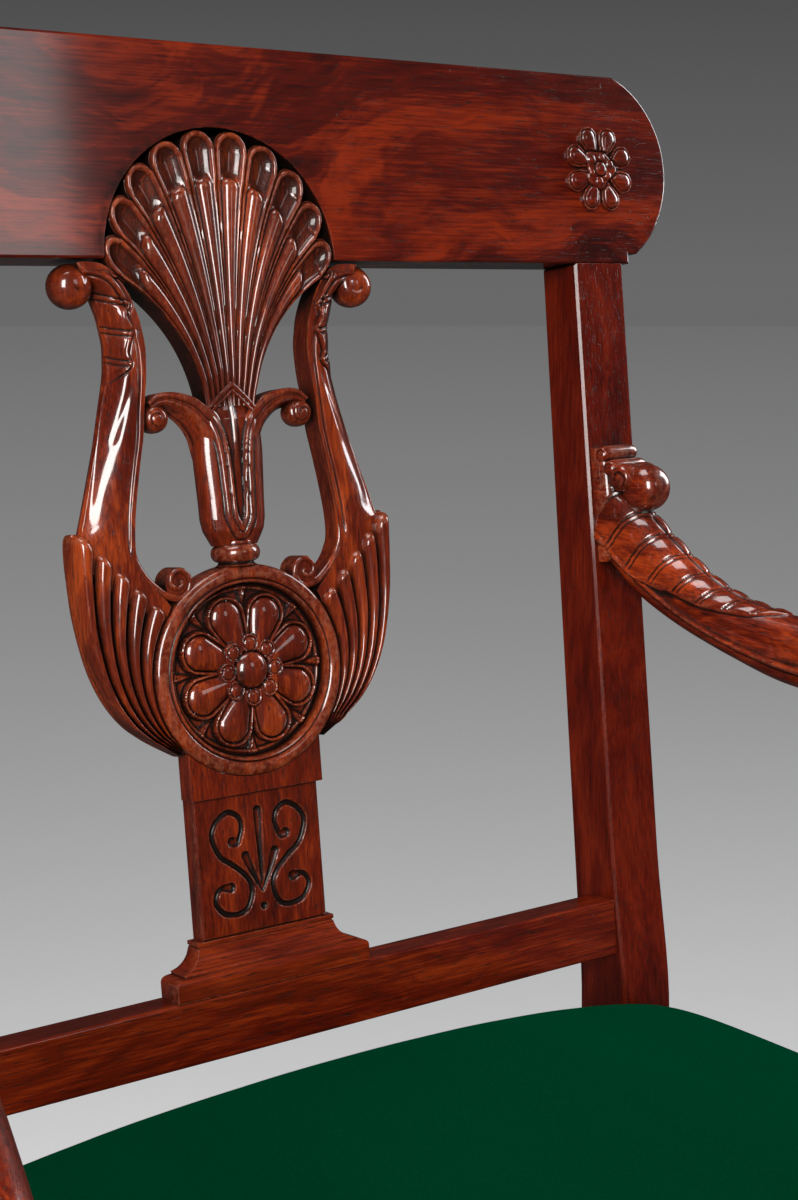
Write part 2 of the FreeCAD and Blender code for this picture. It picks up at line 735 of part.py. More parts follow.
def limb_outline():
    """Draw the right limb of the lyre: shell below, long neck, curl above."""
    outer = across([
        (37, -218.6), (52.5, -207.5), (68, -190.2), (77, -165), (80.4, -136), (79.6, -121), (76, -115),
    ])
    neck = across([(75, -118), (68, -100), (59.6, -60.3), (57, -45), (57, -28), (60.5, -19)])
    curl = across([(60.5, -19), (66, -10), (70.8, -1.2), (62, -0.9), (54, -4.8), (46.5, -14.8)])
    inner = across([
        (46.5, -14.8), (40.9, -38), (43.2, -62), (49, -96.5), (52.1, -122), (49.6, -132.4), (41, -140.8),
    ])
    foot = across([(33, -141), (24, -150), (20, -182), (25, -215)])
    return filled([
        spline(outer),
        straight(outer[-1], neck[0]),
        spline(neck),
        straight(curl[0], curl[1]),
        straight(curl[1], curl[2]),
        spline(curl[2:]),
        spline(inner),
        straight(inner[-1], foot[0]),
        straight(foot[0], foot[1]),
        straight(foot[1], foot[2]),
        straight(foot[2], foot[3]),
        straight(foot[3], outer[0]),
    ])


def make_limbs():
    """Model the lyre's limbs: scrolled boards with a ball above and a small volute on the ring."""
    front = size("splat_front")
    back = size("splat_back")
    limb = extruded(limb_outline(), front, back)
    ball = size("ball_radius")
    along = Vector(0, 1, 0)
    tip = Part.makeCylinder(ball - 0.6, back - front, Vector(70.6, front, -10.6), along)
    angle = math.atan2(43.2, 33)
    reach = size("ring_radius") + size("volute_radius") + 2 * size("fit_gap")
    small = Vector(reach * math.cos(angle), front, -size("ring_drop") + reach * math.sin(angle))
    volute = Part.makeCylinder(size("volute_radius"), back - front, small, along)
    limb = limb.fuse([tip, volute]).removeSplitter()
    gap = size("fit_gap")
    ring = Part.makeCylinder(size("ring_radius") + gap, 60, Vector(0, -30, -size("ring_drop")), along)
    cap = box_shape(
        Vector(-size("cap_half") - gap, -30, -size("cap_bottom")),
        Vector(size("cap_half") + gap, 30, -size("cap_top") + gap),
    )
    fan = fan_solid(-30, 30, gap)
    for tool in (ring, cap, fan):
        limb = limb.cut(tool)
    right = shaped("lyre_arm_right", limb.removeSplitter(), back_frame())
    mirrored("lyre_arm_left", right)


def make_pedestal():
    """Model the lyre's pedestal: cap scribed to the ring, plain panel and moulded base."""
    cap = new_body("plinth_cap", back_frame())
    cap_sides = ("2 * cap_half", "splat_back - cap_front", "cap_bottom - cap_top")
    block(cap, "cap", ("-cap_half", "cap_front", "-cap_bottom"), cap_sides)
    rod(cap, "scribe", ("0", "-30", "-ring_drop"), "ring_radius + fit_gap", "60", cut=True)
    panel = new_body("plinth_panel", back_frame())
    panel_sides = ("2 * panel_half", "splat_back - panel_front", "panel_bottom - cap_bottom")
    block(panel, "panel", ("-panel_half", "panel_front", "-panel_bottom"), panel_sides)
    soften(panel, "arrises", "arris / 2", lambda edge: edge.BoundBox.ZLength > 40)
    make_base()


def moulding(place):
    """Draw the base's moulding from its foot to its top, through a map of distance out and height."""
    half = size("base_half")
    upper = size("panel_half + base_rim")
    foot = -size("cross_top")
    block_top = foot + size("base_block")
    top = -size("panel_bottom")
    shelf = top - size("base_fillet")
    corners = [
        place(half, foot),
        place(half, block_top),
        place(half - size("base_fillet"), block_top),
        place(upper, shelf),
        place(upper, top),
    ]
    hollow = Part.Arc(corners[2], place(upper + 2.2, block_top + 2.9), corners[3]).toShape()
    edges = [straight(corners[0], corners[1]), straight(corners[1], corners[2]), hollow]
    edges.append(straight(corners[3], corners[4]))
    return edges, corners


def make_base():
    """Model the moulded base, its cavetto mitred round the front corners, with a stub tenon."""
    front = size("base_front")
    back = size("splat_back")
    upper = size("panel_half + base_rim")
    upper_front = size("panel_front - base_rim")
    slope = (upper_front - front) / (size("base_half") - upper)
    right, right_corners = moulding(lambda out, height: Vector(out, 0, height))
    left, left_corners = moulding(lambda out, height: Vector(-out, 0, height))
    closing = [straight(right_corners[0], left_corners[0]), straight(right_corners[-1], left_corners[-1])]
    seen = extruded(filled(right + left + closing), front, back)
    side, corners = moulding(lambda out, height: Vector(0, upper_front - (out - upper) * slope, height))
    low_back = Vector(0, back, corners[0].z)
    high_back = Vector(0, back, corners[-1].z)
    side.append(straight(corners[-1], high_back))
    side.append(straight(high_back, low_back))
    side.append(straight(low_back, corners[0]))
    reach = size("base_half") + 1
    bar = filled(side).extrude(Vector(2 * reach, 0, 0))
    bar.translate(Vector(-reach, 0, 0))
    inset = size("stub_inset")
    stub = box_shape(
        Vector(-size("panel_half") + inset, front + inset / 3, -size("cross_top") - size("stub_length")),
        Vector(size("panel_half") - inset, back - inset / 3, -size("cross_top")),
    )
    shaped("plinth_base", seen.common(bar).fuse(stub).removeSplitter(), back_frame())


# The seat: rails, bearer, front legs and corner blocks


def outer_half(y):
    """Give the seat's outer half width at a place front to back."""
    rear = size("stile_inner + stile_width")
    return rear + math.tan(math.radians(size("seat_splay"))) * (size("seat_back_y") - y)


def seat_plan(inset, front_y, rear_y, low, high):
    """Make a block with the seat's plan, inset from the rails' outer faces."""
    slip = inset / math.cos(math.radians(size("seat_splay")))
    corners = [
        Vector(-outer_half(front_y) + slip, front_y, low),
        Vector(outer_half(front_y) - slip, front_y, low),
        Vector(outer_half(rear_y) - slip, rear_y, low),
        Vector(-outer_half(rear_y) + slip, rear_y, low),
    ]
    face = Part.Face(Part.makePolygon(corners + corners[:1]))
    return face.extrude(Vector(0, 0, high - low))


def side_place():
    """Give the placement of the right side rail: its rear outer corner, turned by the splay."""
    corner = Vector(size("stile_inner + stile_width"), size("seat_back_y"), 0)
    return Placement(corner, Rotation(Vector(0, 0, 1), size("seat_splay")))


def side_length():
    """Give the distance along a side rail's face from the rear leg to the front leg."""
    whole = (size("seat_back_y") - size("seat_front_y")) / math.cos(math.radians(size("seat_splay")))
    return whole - size("front_leg_depth")


def rail_levels():
    """Give the low and high edges of the seat rails."""
    top = size("seat_height")
    return top - size("seat_rail_height"), top


def seat_well():
    """Make the space of the rebate and of the seat above it, to be cut from rails and legs."""
    ledge = size("seat_height - rebate_depth")
    front = size("seat_front_y + seat_lip")
    return seat_plan(size("seat_lip"), front, size("seat_back_y"), ledge, size("seat_height") + 100)


def tenon_block(length, thickness, extra):
    """Make a rail tenon that points towards +X from its shoulder, centred in height."""
    low, high = rail_levels()
    ledge = high - size("rebate_depth")
    return box_shape(
        Vector(-1, -thickness / 2 - extra, low + size("tenon_foot") - extra),
        Vector(length + extra, thickness / 2 + extra, ledge - size("tenon_head") + extra),
    )


def side_tenons(extra=0.0):
    """Place the side rail's two tenons, which also serve as mortise tools."""
    thick = size("rail_tenon_thickness")
    middle = -size("seat_rail_thickness") / 2
    shoulder = side_length()
    forward = Rotation(Vector(0, 0, 1), -90)
    rearward = Rotation(Vector(0, 0, 1), 90)
    length = size("tenon_length")
    front = placed(tenon_block(length, thick, extra), Placement(Vector(middle, -shoulder, 0), forward))
    rear = placed(tenon_block(length, thick, extra), Placement(Vector(middle, 0, 0), rearward))
    return [placed(shape, side_place()) for shape in (front, rear)]


def front_leg_outline():
    """Draw the side view of a sabre front leg, front edge along the rail's face line."""
    low, high = rail_levels()
    depth = size("front_leg_depth")
    toe = size("front_leg_toe")
    sweep = size("front_sweep")
    down = Vector(0, 0, -1)
    kick = Vector(0, -0.36, -1)
    fronts = [
        Vector(0, -depth, low),
        Vector(0, -depth + 0.05 * sweep, 0.8 * low),
        Vector(0, -depth - 0.08 * sweep, 0.52 * low),
        Vector(0, -depth - sweep, 0),
    ]
    backs = [
        Vector(0, 0, low),
        Vector(0, 0.02 * sweep, 0.8 * low),
        Vector(0, -0.16 * sweep, 0.52 * low),
        Vector(0, -depth - sweep + toe, 0),
    ]
    return filled([
        straight(Vector(0, -depth, high), fronts[0]),
        spline(fronts, down, kick),
        straight(fronts[-1], backs[-1]),
        spline(backs, down, kick),
        straight(backs[0], Vector(0, 0, high)),
        straight(Vector(0, 0, high), Vector(0, -depth, high)),
    ])


def front_leg_place():
    """Give the placement of the right front leg: the rear outer corner of its block."""
    return side_place().multiply(Placement(Vector(0, -side_length(), 0), Rotation()))


def front_shoulder():
    """Give where the front rail's shoulder meets the leg, as a half length."""
    inner = front_leg_place().multVec(Vector(-size("front_leg_width"), -size("front_leg_depth") / 2, 0))
    return inner.x


def front_tenon(extra=0.0):
    """Place the front rail's right tenon."""
    middle = size("seat_front_y") + size("front_rail_setback") + size("seat_rail_thickness") / 2
    tenon = tenon_block(size("tenon_length"), size("rail_tenon_thickness"), extra)
    return placed(tenon, Placement(Vector(front_shoulder() - 3, middle, 0), Rotation()))


def make_front_legs(holes):
    """Model the right sabre leg with its notch for the seat and its mortises."""
    width = size("front_leg_width")
    leg = front_leg_outline().extrude(Vector(-width, 0, 0))
    rims = [edge for edge in leg.Edges if lies_on(edge, "X", 0) or lies_on(edge, "X", -width)]
    leg = leg.makeChamfer(size("arris"), rims)
    leg = placed(leg, front_leg_place())
    gap = size("fit_gap")
    for tool in [seat_well(), side_tenons(gap)[0], front_tenon(gap)] + holes:
        leg = leg.cut(tool)
    right = shaped("front_leg_right", leg)
    mirrored("front_leg_left", right)


def make_side_rails(holes):
    """Model the right side rail: splayed, rebated and tenoned at both ends."""
    low, high = rail_levels()
    thick = size("seat_rail_thickness")
    rail = box_shape(Vector(-thick, -side_length(), low), Vector(0, 0, high))
    rail = placed(rail, side_place())
    rear = box_shape(Vector(0, size("seat_back_y"), 0), Vector(400, size("seat_back_y") + 50, high + 1))
    rail = rail.cut(rear).fuse(side_tenons()).removeSplitter()
    for tool in [seat_well()] + holes:
        rail = rail.cut(tool)
    right = shaped("side_rail_right", rail)
    mirrored("side_rail_left", right)


def make_front_rail(holes):
    """Model the front seat rail between the legs."""
    low, high = rail_levels()
    front = size("seat_front_y") + size("front_rail_setback")
    half = front_shoulder() + 12
    rail = box_shape(Vector(-half, front, low), Vector(half, front + size("seat_rail_thickness"), high))
    width = size("front_leg_width")
    depth = size("front_leg_depth")
    space = box_shape(Vector(-width, -depth - 20, low - 1), Vector(60, 20, high + 1))
    leg_space = placed(space, front_leg_place())
    tenon = front_tenon()
    flip = Matrix()
    flip.scale(-1, 1, 1)
    for tool in [leg_space, leg_space.transformGeometry(flip)]:
        rail = rail.cut(tool)
    rail = rail.fuse([tenon, tenon.transformGeometry(flip)]).removeSplitter()
    for tool in [seat_well()] + holes:
        rail = rail.cut(tool)
    shaped("front_seat_rail", rail)


def back_rail_y():
    """Give the back seat rail's front face."""
    return size("seat_back_y + back_rail_setback")


def back_tenon(extra=0.0):
    """Place the back rail's right tenon."""
    middle = back_rail_y() + size("seat_rail_thickness") / 2
    tenon = tenon_block(size("back_tenon_length"), size("rail_tenon_thickness"), extra)
    return placed(tenon, Placement(Vector(size("stile_inner"), middle, 0), Rotation()))


def make_back_rail(holes):
    """Model the back seat rail between the rear legs."""
    low, high = rail_levels()
    half = size("stile_inner")
    y = back_rail_y()
    rail = box_shape(Vector(-half, y, low), Vector(half, y + size("seat_rail_thickness"), high))
    tenon = back_tenon()
    flip = Matrix()
    flip.scale(-1, 1, 1)
    rail = rail.fuse([tenon, tenon.transformGeometry(flip)]).removeSplitter()
    for tool in holes:
        rail = rail.cut(tool)
    shaped("back_seat_rail", rail)


def make_bearer(holes):
    """Model the strip on the back rail that carries the rear of the loose seat."""
    ledge = size("seat_height - rebate_depth")
    y = back_rail_y()
    half = outer_half(size("seat_back_y")) - size("seat_rail_thickness") - 2
    bearer = box_shape(
        Vector(-half, y - size("bearer_width"), ledge - size("bearer_height")),
        Vector(half, y, ledge),
    )
    gap = size("fit_gap")
    legs = box_shape(
        Vector(size("stile_inner") - gap, size("seat_back_y") - gap, 0),
        Vector(400, y + 50, 600),
    )
    flip = Matrix()
    flip.scale(-1, 1, 1)
    for tool in [legs, legs.transformGeometry(flip)] + holes:
        bearer = bearer.cut(tool)
    shaped("rear_seat_bearer", bearer)


def bearer_screw_places():
    """Place the bearer's screws, driven backwards into the back rail."""
    ledge = size("seat_height - rebate_depth")
    height = ledge - size("bearer_height") / 2
    y = back_rail_y() - size("bearer_width")
    span = size("bearer_screw_span")
    return [Placement(Vector(x, y, height), Rotation()) for x in (-span, 0, span)]


def corner_blocks():
    """Make the two right-hand corner blocks, glued in the corners under the rebate."""
    side = size("block_side")
    top = size("seat_height - rebate_depth - block_drop")
    low = top - size("block_height")
    thick = size("seat_rail_thickness")
    front = size("seat_front_y") + size("front_rail_setback") + thick
    inner_front = outer_half(front) - thick / math.cos(math.radians(size("seat_splay")))
    rear = back_rail_y() - size("bearer_width")
    inner_rear = outer_half(rear) - thick / math.cos(math.radians(size("seat_splay")))
    slope = math.tan(math.radians(size("seat_splay")))
    front_corners = [
        Vector(inner_front, front, low),
        Vector(inner_front - slope * side, front + side, low),
        Vector(inner_front - side, front, low),
    ]
    rear_corners = [
        Vector(inner_rear, rear, low),
        Vector(inner_rear - side, rear, low),
        Vector(inner_rear + slope * side, rear - side, low),
    ]
    blocks = []
    for corners in (front_corners, rear_corners):
        face = Part.Face(Part.makePolygon(corners + corners[:1]))
        blocks.append(face.extrude(Vector(0, 0, top - low)))
    leg = placed(
        box_shape(
            Vector(-size("front_leg_width"), -size("front_leg_depth"), 0),
            Vector(0, 0, 600),
        ),
        front_leg_place(),
    )
    blocks[0] = blocks[0].cut(leg).Solids[0]
    return blocks


def block_screw_places():
    """Place two screws in each right-hand block, square to the long face, heads sunk in it."""
    side = size("block_side")
    top = size("seat_height - rebate_depth - block_drop")
    height = top - size("block_height") / 2
    places = []
    for number, block_solid in enumerate(corner_blocks()):
        middle = block_solid.CenterOfMass
        angle = -135 if number == 0 else -45
        outward = Rotation(Vector(0, 0, 1), angle)
        back_off = outward.multVec(Vector(0, -BLOCK_SCREW_SHARE * side, 0))
        start = Vector(middle.x, middle.y, height).add(back_off)
        places.append(Placement(start, outward))
    return places


def make_corner_blocks(holes):
    """Model the four corner blocks with their screw holes."""
    for solid, name in zip(corner_blocks(), ("front", "rear")):
        for tool in holes:
            solid = solid.cut(tool)
        right = shaped(f"corner_block_{name}_right", solid)
        mirrored(f"corner_block_{name}_left", right)


# The arms and their supports


def arm_place():
    """Give the placement of the right arm's own side view, turned out by the arms' splay."""
    root = Vector(size("arm_root_x"), size("back_y"), size("seat_height + back_rise"))
    return Placement(root, Rotation(Vector(0, 0, 1), size("arm_splay")))


def arm_outline():
    """Draw the arm's side view from the stile to the front volute."""
    reach = size("arm_volute_reach")
    drop = size("arm_volute_drop")
    round_end = size("arm_volute_radius")
    slope = math.radians(28)
    crest = Vector(0, -reach - round_end * math.sin(slope), -drop + round_end * math.cos(slope))
    tuck = math.radians(20)
    heel = Vector(0, -reach + round_end * math.cos(tuck), -drop + round_end * math.sin(tuck))
    upper = [
        Vector(0, -30, -113),
        Vector(0, -54, -131),
        Vector(0, -89, -150.5),
        Vector(0, -135, -161.5),
        Vector(0, -0.54 * reach, -166),
        Vector(0, -0.7 * reach, -173.5),
        Vector(0, -0.84 * reach, -187),
        crest,
    ]
    lower = [
        Vector(0, -14, -149),
        Vector(0, -28, -161),
        Vector(0, -65, -180.5),
        Vector(0, -114, -194),
        Vector(0, -0.54 * reach, -201.5),
        Vector(0, -0.75 * reach, -208),
        heel,
    ]
    pad_top = Vector(0, -5, -91)
    nose = Vector(0, -24, -93)
    centre = Vector(0, -reach, -drop)
    return filled([
        straight(pad_top, nose),
        straight(nose, upper[0]),
        spline(upper),
        straight(crest, centre),
        straight(centre, heel),
        spline(lower),
        straight(lower[0], Vector(0, 20, -149)),
        straight(Vector(0, 20, -149), Vector(0, 20, -91)),
        straight(Vector(0, 20, -91), pad_top),
    ])


def make_arms(holes):
    """Model the right arm: swept bar, ball scroll at the stile, rolled volute at the front."""
    width = size("arm_width")
    bar = arm_outline().extrude(Vector(width, 0, 0))
    bar.translate(Vector(-width / 2, 0, 0))
    long_edges = [
        edge for edge in bar.Edges
        if (lies_on(edge, "X", -width / 2) or lies_on(edge, "X", width / 2)) and edge.Length > 200
    ]
    bar = bar.makeFillet(size("arm_round"), long_edges)
    centre = Vector(-width / 2, -size("arm_volute_reach"), -size("arm_volute_drop"))
    volute = Part.makeCylinder(size("arm_volute_radius"), width, centre, Vector(1, 0, 0))
    ball = Part.makeSphere(size("arm_ball_radius"), Vector(0, -36, -111))
    arm = bar.fuse([volute, ball]).removeSplitter()
    arm = placed(arm, arm_place())
    stile = placed(box_shape(Vector(0, 0, -400), Vector(400, 80, 0)), back_frame())
    for tool in [stile] + holes:
        arm = arm.cut(tool)
    right = shaped("arm_right", arm)
    mirrored("arm_left", right)


def support_stand():
    """Give how far the support's foot stands before the top rail's edge."""
    return size("back_y - seat_front_y - front_leg_depth - support_setback")


def support_solid():
    """Make the scrolled arm support in the side rail's plane, before it is scribed."""
    base_y = size("back_y") - size("seat_back_y")
    top = size("seat_height + back_rise")
    foot = size("seat_height") - top
    low = foot - size("support_reach")
    reach = size("arm_volute_reach")
    stand = support_stand()
    middle = (reach + stand) / 2

    def along(distance, height):
        """Place a point by its distance before the top rail's edge and its height below it."""
        return Vector(0, (base_y - distance) / math.cos(math.radians(size("seat_splay"))), top + height)

    fronts = [
        along(stand + 17, foot),
        along(stand + 22, foot + 34),
        along(middle + 15.5, foot + 78),
        along(reach - 2, foot + 118),
        along(reach - 14, foot + 150),
    ]
    backs = [
        along(stand - 15, foot),
        along(stand - 7, foot + 30),
        along(middle - 9.5, foot + 64),
        along(reach - 26, foot + 104),
        along(reach - 44, foot + 170),
    ]
    lap_front = along(stand + 11, low + 8)
    lap_back = along(stand - 11, low + 8)
    lap_low = along(stand, low)
    face = filled([
        spline(fronts),
        straight(fronts[-1], backs[-1]),
        spline(backs),
        straight(backs[0], lap_back),
        Part.Arc(lap_back, lap_low, lap_front).toShape(),
        straight(lap_front, fronts[0]),
    ])
    width = size("arm_width")
    solid = face.extrude(Vector(width, 0, 0))
    solid.translate(Vector(size("support_lap") - width, 0, 0))
    return placed(solid, side_place())


def make_supports(holes):
    """Model the right arm support: lapped on the side rail and scribed under the arm."""
    low, high = rail_levels()
    gap = size("fit_gap")
    support = support_solid()
    rail = placed(box_shape(Vector(-60, -600, low - 60), Vector(gap, 60, high + gap)), side_place())
    width = size("arm_width")
    over_arm = arm_outline().extrude(Vector(2 * width, 0, 0))
    over_arm.translate(Vector(-width, gap, -gap))
    volute = Part.makeCylinder(
        size("arm_volute_radius") + gap,
        4 * width,
        Vector(-2 * width, -size("arm_volute_reach"), -size("arm_volute_drop")),
        Vector(1, 0, 0),
    )
    above = placed(over_arm.fuse(volute), arm_place())
    for tool in [rail, above]:
        support = support.cut(tool)
    support = max(support.Solids, key=lambda solid: solid.Volume)
    for tool in holes:
        support = support.cut(tool)
    right = shaped("arm_support_right", support)
    mirrored("arm_support_left", right)


def arm_screw_place():
    """Place the screw that holds the right arm, driven forwards through the stile."""
    start = back_frame(size("stile_inner + stile_width / 2"), 0, -size("arm_screw_drop")).Base
    taper = (size("stile_depth_cross") - size("stile_depth_top")) / CROSS_LINE
    depth = size("stile_depth_top") + taper * size("arm_screw_drop")
    back = Rotation(Vector(1, 0, 0), -size("rake_angle"))
    start = start.add(back.multVec(Vector(0, depth, 0)))
    return Placement(start, back.multiply(Rotation(Vector(0, 0, 1), 180)))


def support_screw_places():
    """Place the screws of the right support, driven outwards through the side rail."""
    high = size("seat_height")
    depth = -size("seat_rail_thickness")
    base = support_stand() - size("back_y - seat_back_y")
    outward = Rotation(Vector(0, 0, 1), -90)
    heights = (high - 16 - size("rebate_depth"), high - size("support_reach") + 12)
    distance = -base / math.cos(math.radians(size("seat_splay")))
    starts = [Placement(Vector(depth, distance, height), outward) for height in heights]
    return [side_place().multiply(start) for start in starts]


# The loose seat


def seat_inset(layers):
    """Give the inset of a layer of the seat from the rails' outer faces."""
    return size("seat_lip + seat_play") + layers


def seat_ends(layers):
    """Give the front and rear of a layer of the seat."""
    front = size("seat_front_y + seat_lip + seat_play") + layers
    rear = size("seat_back_y - seat_rear_gap") - layers
    return front, rear


def frame_inset():
    """Give how far the seat frame lies inside the covered seat."""
    return size("cloth_thickness") + size("fit_gap")


def make_seat_frame():
    """Model the four rails of the loose seat frame."""
    inset = frame_inset()
    front, rear = seat_ends(inset)
    low = size("seat_height - rebate_depth")
    high = low + size("frame_thickness")
    wide = size("frame_width")
    whole = seat_plan(seat_inset(inset), front, rear, low, high)
    opening = seat_plan(seat_inset(inset + wide), front + wide, rear - wide, low - 1, high + 1)
    ring = whole.cut(opening)
    bands = {
        "seat_frame_front": (front - 1, front + wide),
        "seat_frame_back": (rear - wide, rear + 1),
    }
    for label, (start, end) in bands.items():
        shaped(label, ring.common(box_shape(Vector(-400, start, low), Vector(400, end, high))))
    middle = box_shape(Vector(0, front + wide, low), Vector(400, rear - wide, high))
    right = shaped("seat_frame_right", ring.common(middle))
    mirrored("seat_frame_left", right)
    return high


def make_webbing(top):
    """Lay the webs on the frame, those from side to side over those from front to back."""
    inset = frame_inset()
    front, rear = seat_ends(inset + WEB_INSET)
    thick = size("web_thickness")
    wide = size("web_width")
    count = int(size("web_count"))
    span = 2 * (outer_half(rear) - seat_inset(inset + WEB_INSET)) - wide
    lengthwise = []
    crosswise = []
    plan = seat_plan(seat_inset(inset + WEB_INSET), front, rear, top, top + 3 * thick)
    for number in range(count):
        share = number / (count - 1) - 0.5
        x = share * span
        low = Vector(x - wide / 2, front, top)
        lengthwise.append(box_shape(low, Vector(x + wide / 2, rear, top + thick)))
        y = (front + rear) / 2 + share * (rear - front - wide - 40)
        low = Vector(-400, y - wide / 2, top + thick)
        strip = box_shape(low, Vector(400, y + wide / 2, top + 2 * thick))
        crosswise.append(strip.common(plan))
    shaped("webbing_lengthwise", Part.makeCompound(lengthwise))
    shaped("webbing_crosswise", Part.makeCompound(crosswise))
    return top + 2 * thick


def crowned(inset, low, rise):
    """Make a crowned block with the seat's plan: steep rolled edges under a shallow dome."""
    front, rear = seat_ends(inset)
    slip = seat_inset(inset) / math.cos(math.radians(size("seat_splay")))
    edge = size("seat_height + seat_edge") + rise
    steps = 14
    rows = []
    for down in range(steps + 1):
        v = -math.cos(math.pi * down / steps)
        y = (front + rear) / 2 + v * (rear - front) / 2
        half = outer_half(y) - slip
        row = []
        for over in range(steps + 1):
            u = -math.cos(math.pi * over / steps)
            roll = size("seat_roll") * (1 - u ** 12) * (1 - v ** 12)
            crown = size("seat_crown") * (1 - abs(u) ** 2.3) * (1 - v ** 8)
            row.append(Vector(u * half, y, edge + roll + crown))
        rows.append(row)
    surface = Part.BSplineSurface()
    surface.interpolate(rows)
    top = surface.toShape()
    solid = top.extrude(Vector(0, 0, -200))
    keep = seat_plan(-50, front - 60, rear + 60, low, edge + 200)
    return solid.common(keep)


def make_cushion(under):
    """Model the base cloth, the stuffing and the cover drawn over it and down the frame."""
    inset = frame_inset()
    cloth = size("cloth_thickness")
    front, rear = seat_ends(inset + CLOTH_INSET)
    low = under
    base = seat_plan(seat_inset(inset + CLOTH_INSET), front, rear, low, low + cloth)
    shaped("base_cloth", base)
    stuffing = crowned(inset, low + cloth, -cloth - size("fit_gap"))
    shaped("seat_pad", stuffing)
    ledge = size("seat_height - rebate_depth")
    outside = crowned(0, ledge + 0.3, 0)
    inside = crowned(cloth, ledge - 10, -cloth)
    shaped("seat_cover", outside.cut(inside))


def make_underside():
    """Model the bottom cloth and the ring of tack heads that hold it and the cover."""
    inset = size("front_leg_depth - seat_lip") + 2.5
    front, rear = seat_ends(inset)
    ledge = size("seat_height - rebate_depth")
    rear -= size("back_rail_setback")
    cloth = size("cloth_thickness")
    bottom = seat_plan(seat_inset(inset), front, rear, ledge - cloth, ledge)
    shaped("bottom_cloth", bottom)
    radius = size("tack_radius")
    line = inset + 2 * radius
    tack_front, tack_rear = seat_ends(line)
    tack_rear -= size("back_rail_setback")
    spacing = size("tack_spacing")
    heads = []

    def head(x, y):
        """Add one domed tack head."""
        low = Vector(x, y, ledge - cloth - TACK_HEIGHT)
        heads.append(Part.makeCone(radius * 0.5, radius, TACK_HEIGHT, low, Vector(0, 0, 1)))

    rows = max(2, round((tack_rear - tack_front) / spacing) + 1)
    for number in range(rows):
        y = tack_front + (tack_rear - tack_front) * number / (rows - 1)
        half = outer_half(y) - seat_inset(line)
        head(half, y)
        head(-half, y)
    for y in (tack_front, tack_rear):
        half = outer_half(y) - seat_inset(line)
        count = max(2, round(2 * half / spacing))
        for number in range(1, count):
            head(-half + 2 * half * number / count, y)
    shaped("cover_tacks", Part.makeCompound(heads))


def screws_and_holes(places, length_name, sided=True):
    """Give screws at places, and the slightly wider holes that take them."""
    length = size(length_name)
    screws = [placed(screw_shape(length), place) for place in places]
    holes = [placed(screw_shape(length, 0.1), place) for place in places]
    if not sided:
        return Part.makeCompound(screws), holes
    return both_sides(screws), holes


def check_and_export():
    """Stop on any failed feature, then write each sub-part to its own file."""
    doc.recompute()
    for thing in doc.Objects:
        if "Invalid" in thing.State or "Error" in thing.State:
            raise RuntimeError(f"{thing.Label} failed: {thing.State}")
    os.makedirs("parts", exist_ok=True)
    for feature in FEATURES:
        shape = feature.Shape
        if shape.isNull() or not shape.isValid() or not shape.Solids:
            raise RuntimeError(f"{feature.Label} has no valid solid")
        shape.exportStep(f"parts/{feature.Label}.step")
        print(f"{feature.Label}: {len(shape.Solids)} solids, {shape.Volume / 1000:.1f} cm3")


def build():
    """Build the chair from the back to the loose seat."""
    fill_sheet()
    gap = size("fit_gap")
    arm_screws, arm_holes = screws_and_holes([arm_screw_place()], "arm_screw_length")
    support_screws, support_holes = screws_and_holes(support_screw_places(), "support_screw_length")
    block_screws, block_holes = screws_and_holes(block_screw_places(), "block_screw_length")
    bearer_places = bearer_screw_places()
    bearer_screws, bearer_holes = screws_and_holes(bearer_places, "bearer_screw_length", sided=False)
    make_top_rail()
    make_rosettes()
    cross_mortise = placed(box_shape(*cross_tenon(gap)), back_frame())
    make_rear_legs([cross_mortise, back_tenon(gap), side_tenons(gap)[1]] + arm_holes)
    make_cross_rail()
    make_fan()
    make_lotus()
    make_collar()
    make_ring()
    make_flower()
    make_limbs()
    make_pedestal()
    make_front_rail(block_holes)
    make_side_rails(block_holes + support_holes)
    make_back_rail(bearer_holes)
    make_bearer(bearer_holes + block_holes)
    make_front_legs(block_holes)
    make_corner_blocks(block_holes)
    make_arms(arm_holes)
    make_supports(support_holes)
    shaped("arm_screws", arm_screws)
    shaped("support_screws", support_screws)
    shaped("block_screws", block_screws)
    shaped("bearer_screws", bearer_screws)
    frame_top = make_seat_frame()
    web_top = make_webbing(frame_top)
    make_cushion(web_top)
    make_underside()
    check_and_export()


build()
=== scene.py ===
"""Looks of a Regency lyre back elbow chair: carved mahogany, French polished, with a green cloth seat.

The carving is drawn in millimetres on the leaning back: X across, Y the depth behind the top rail's face, Z
the height along the back from the top rail's lower edge. The arms have a side view of their own.
"""

import logging
import math
from collections.abc import Callable, Sequence
from dataclasses import dataclass, field, replace
from enum import Enum
from typing import Any, Union

import bmesh
import bpy
import numpy as np
from mathutils import Matrix, Vector


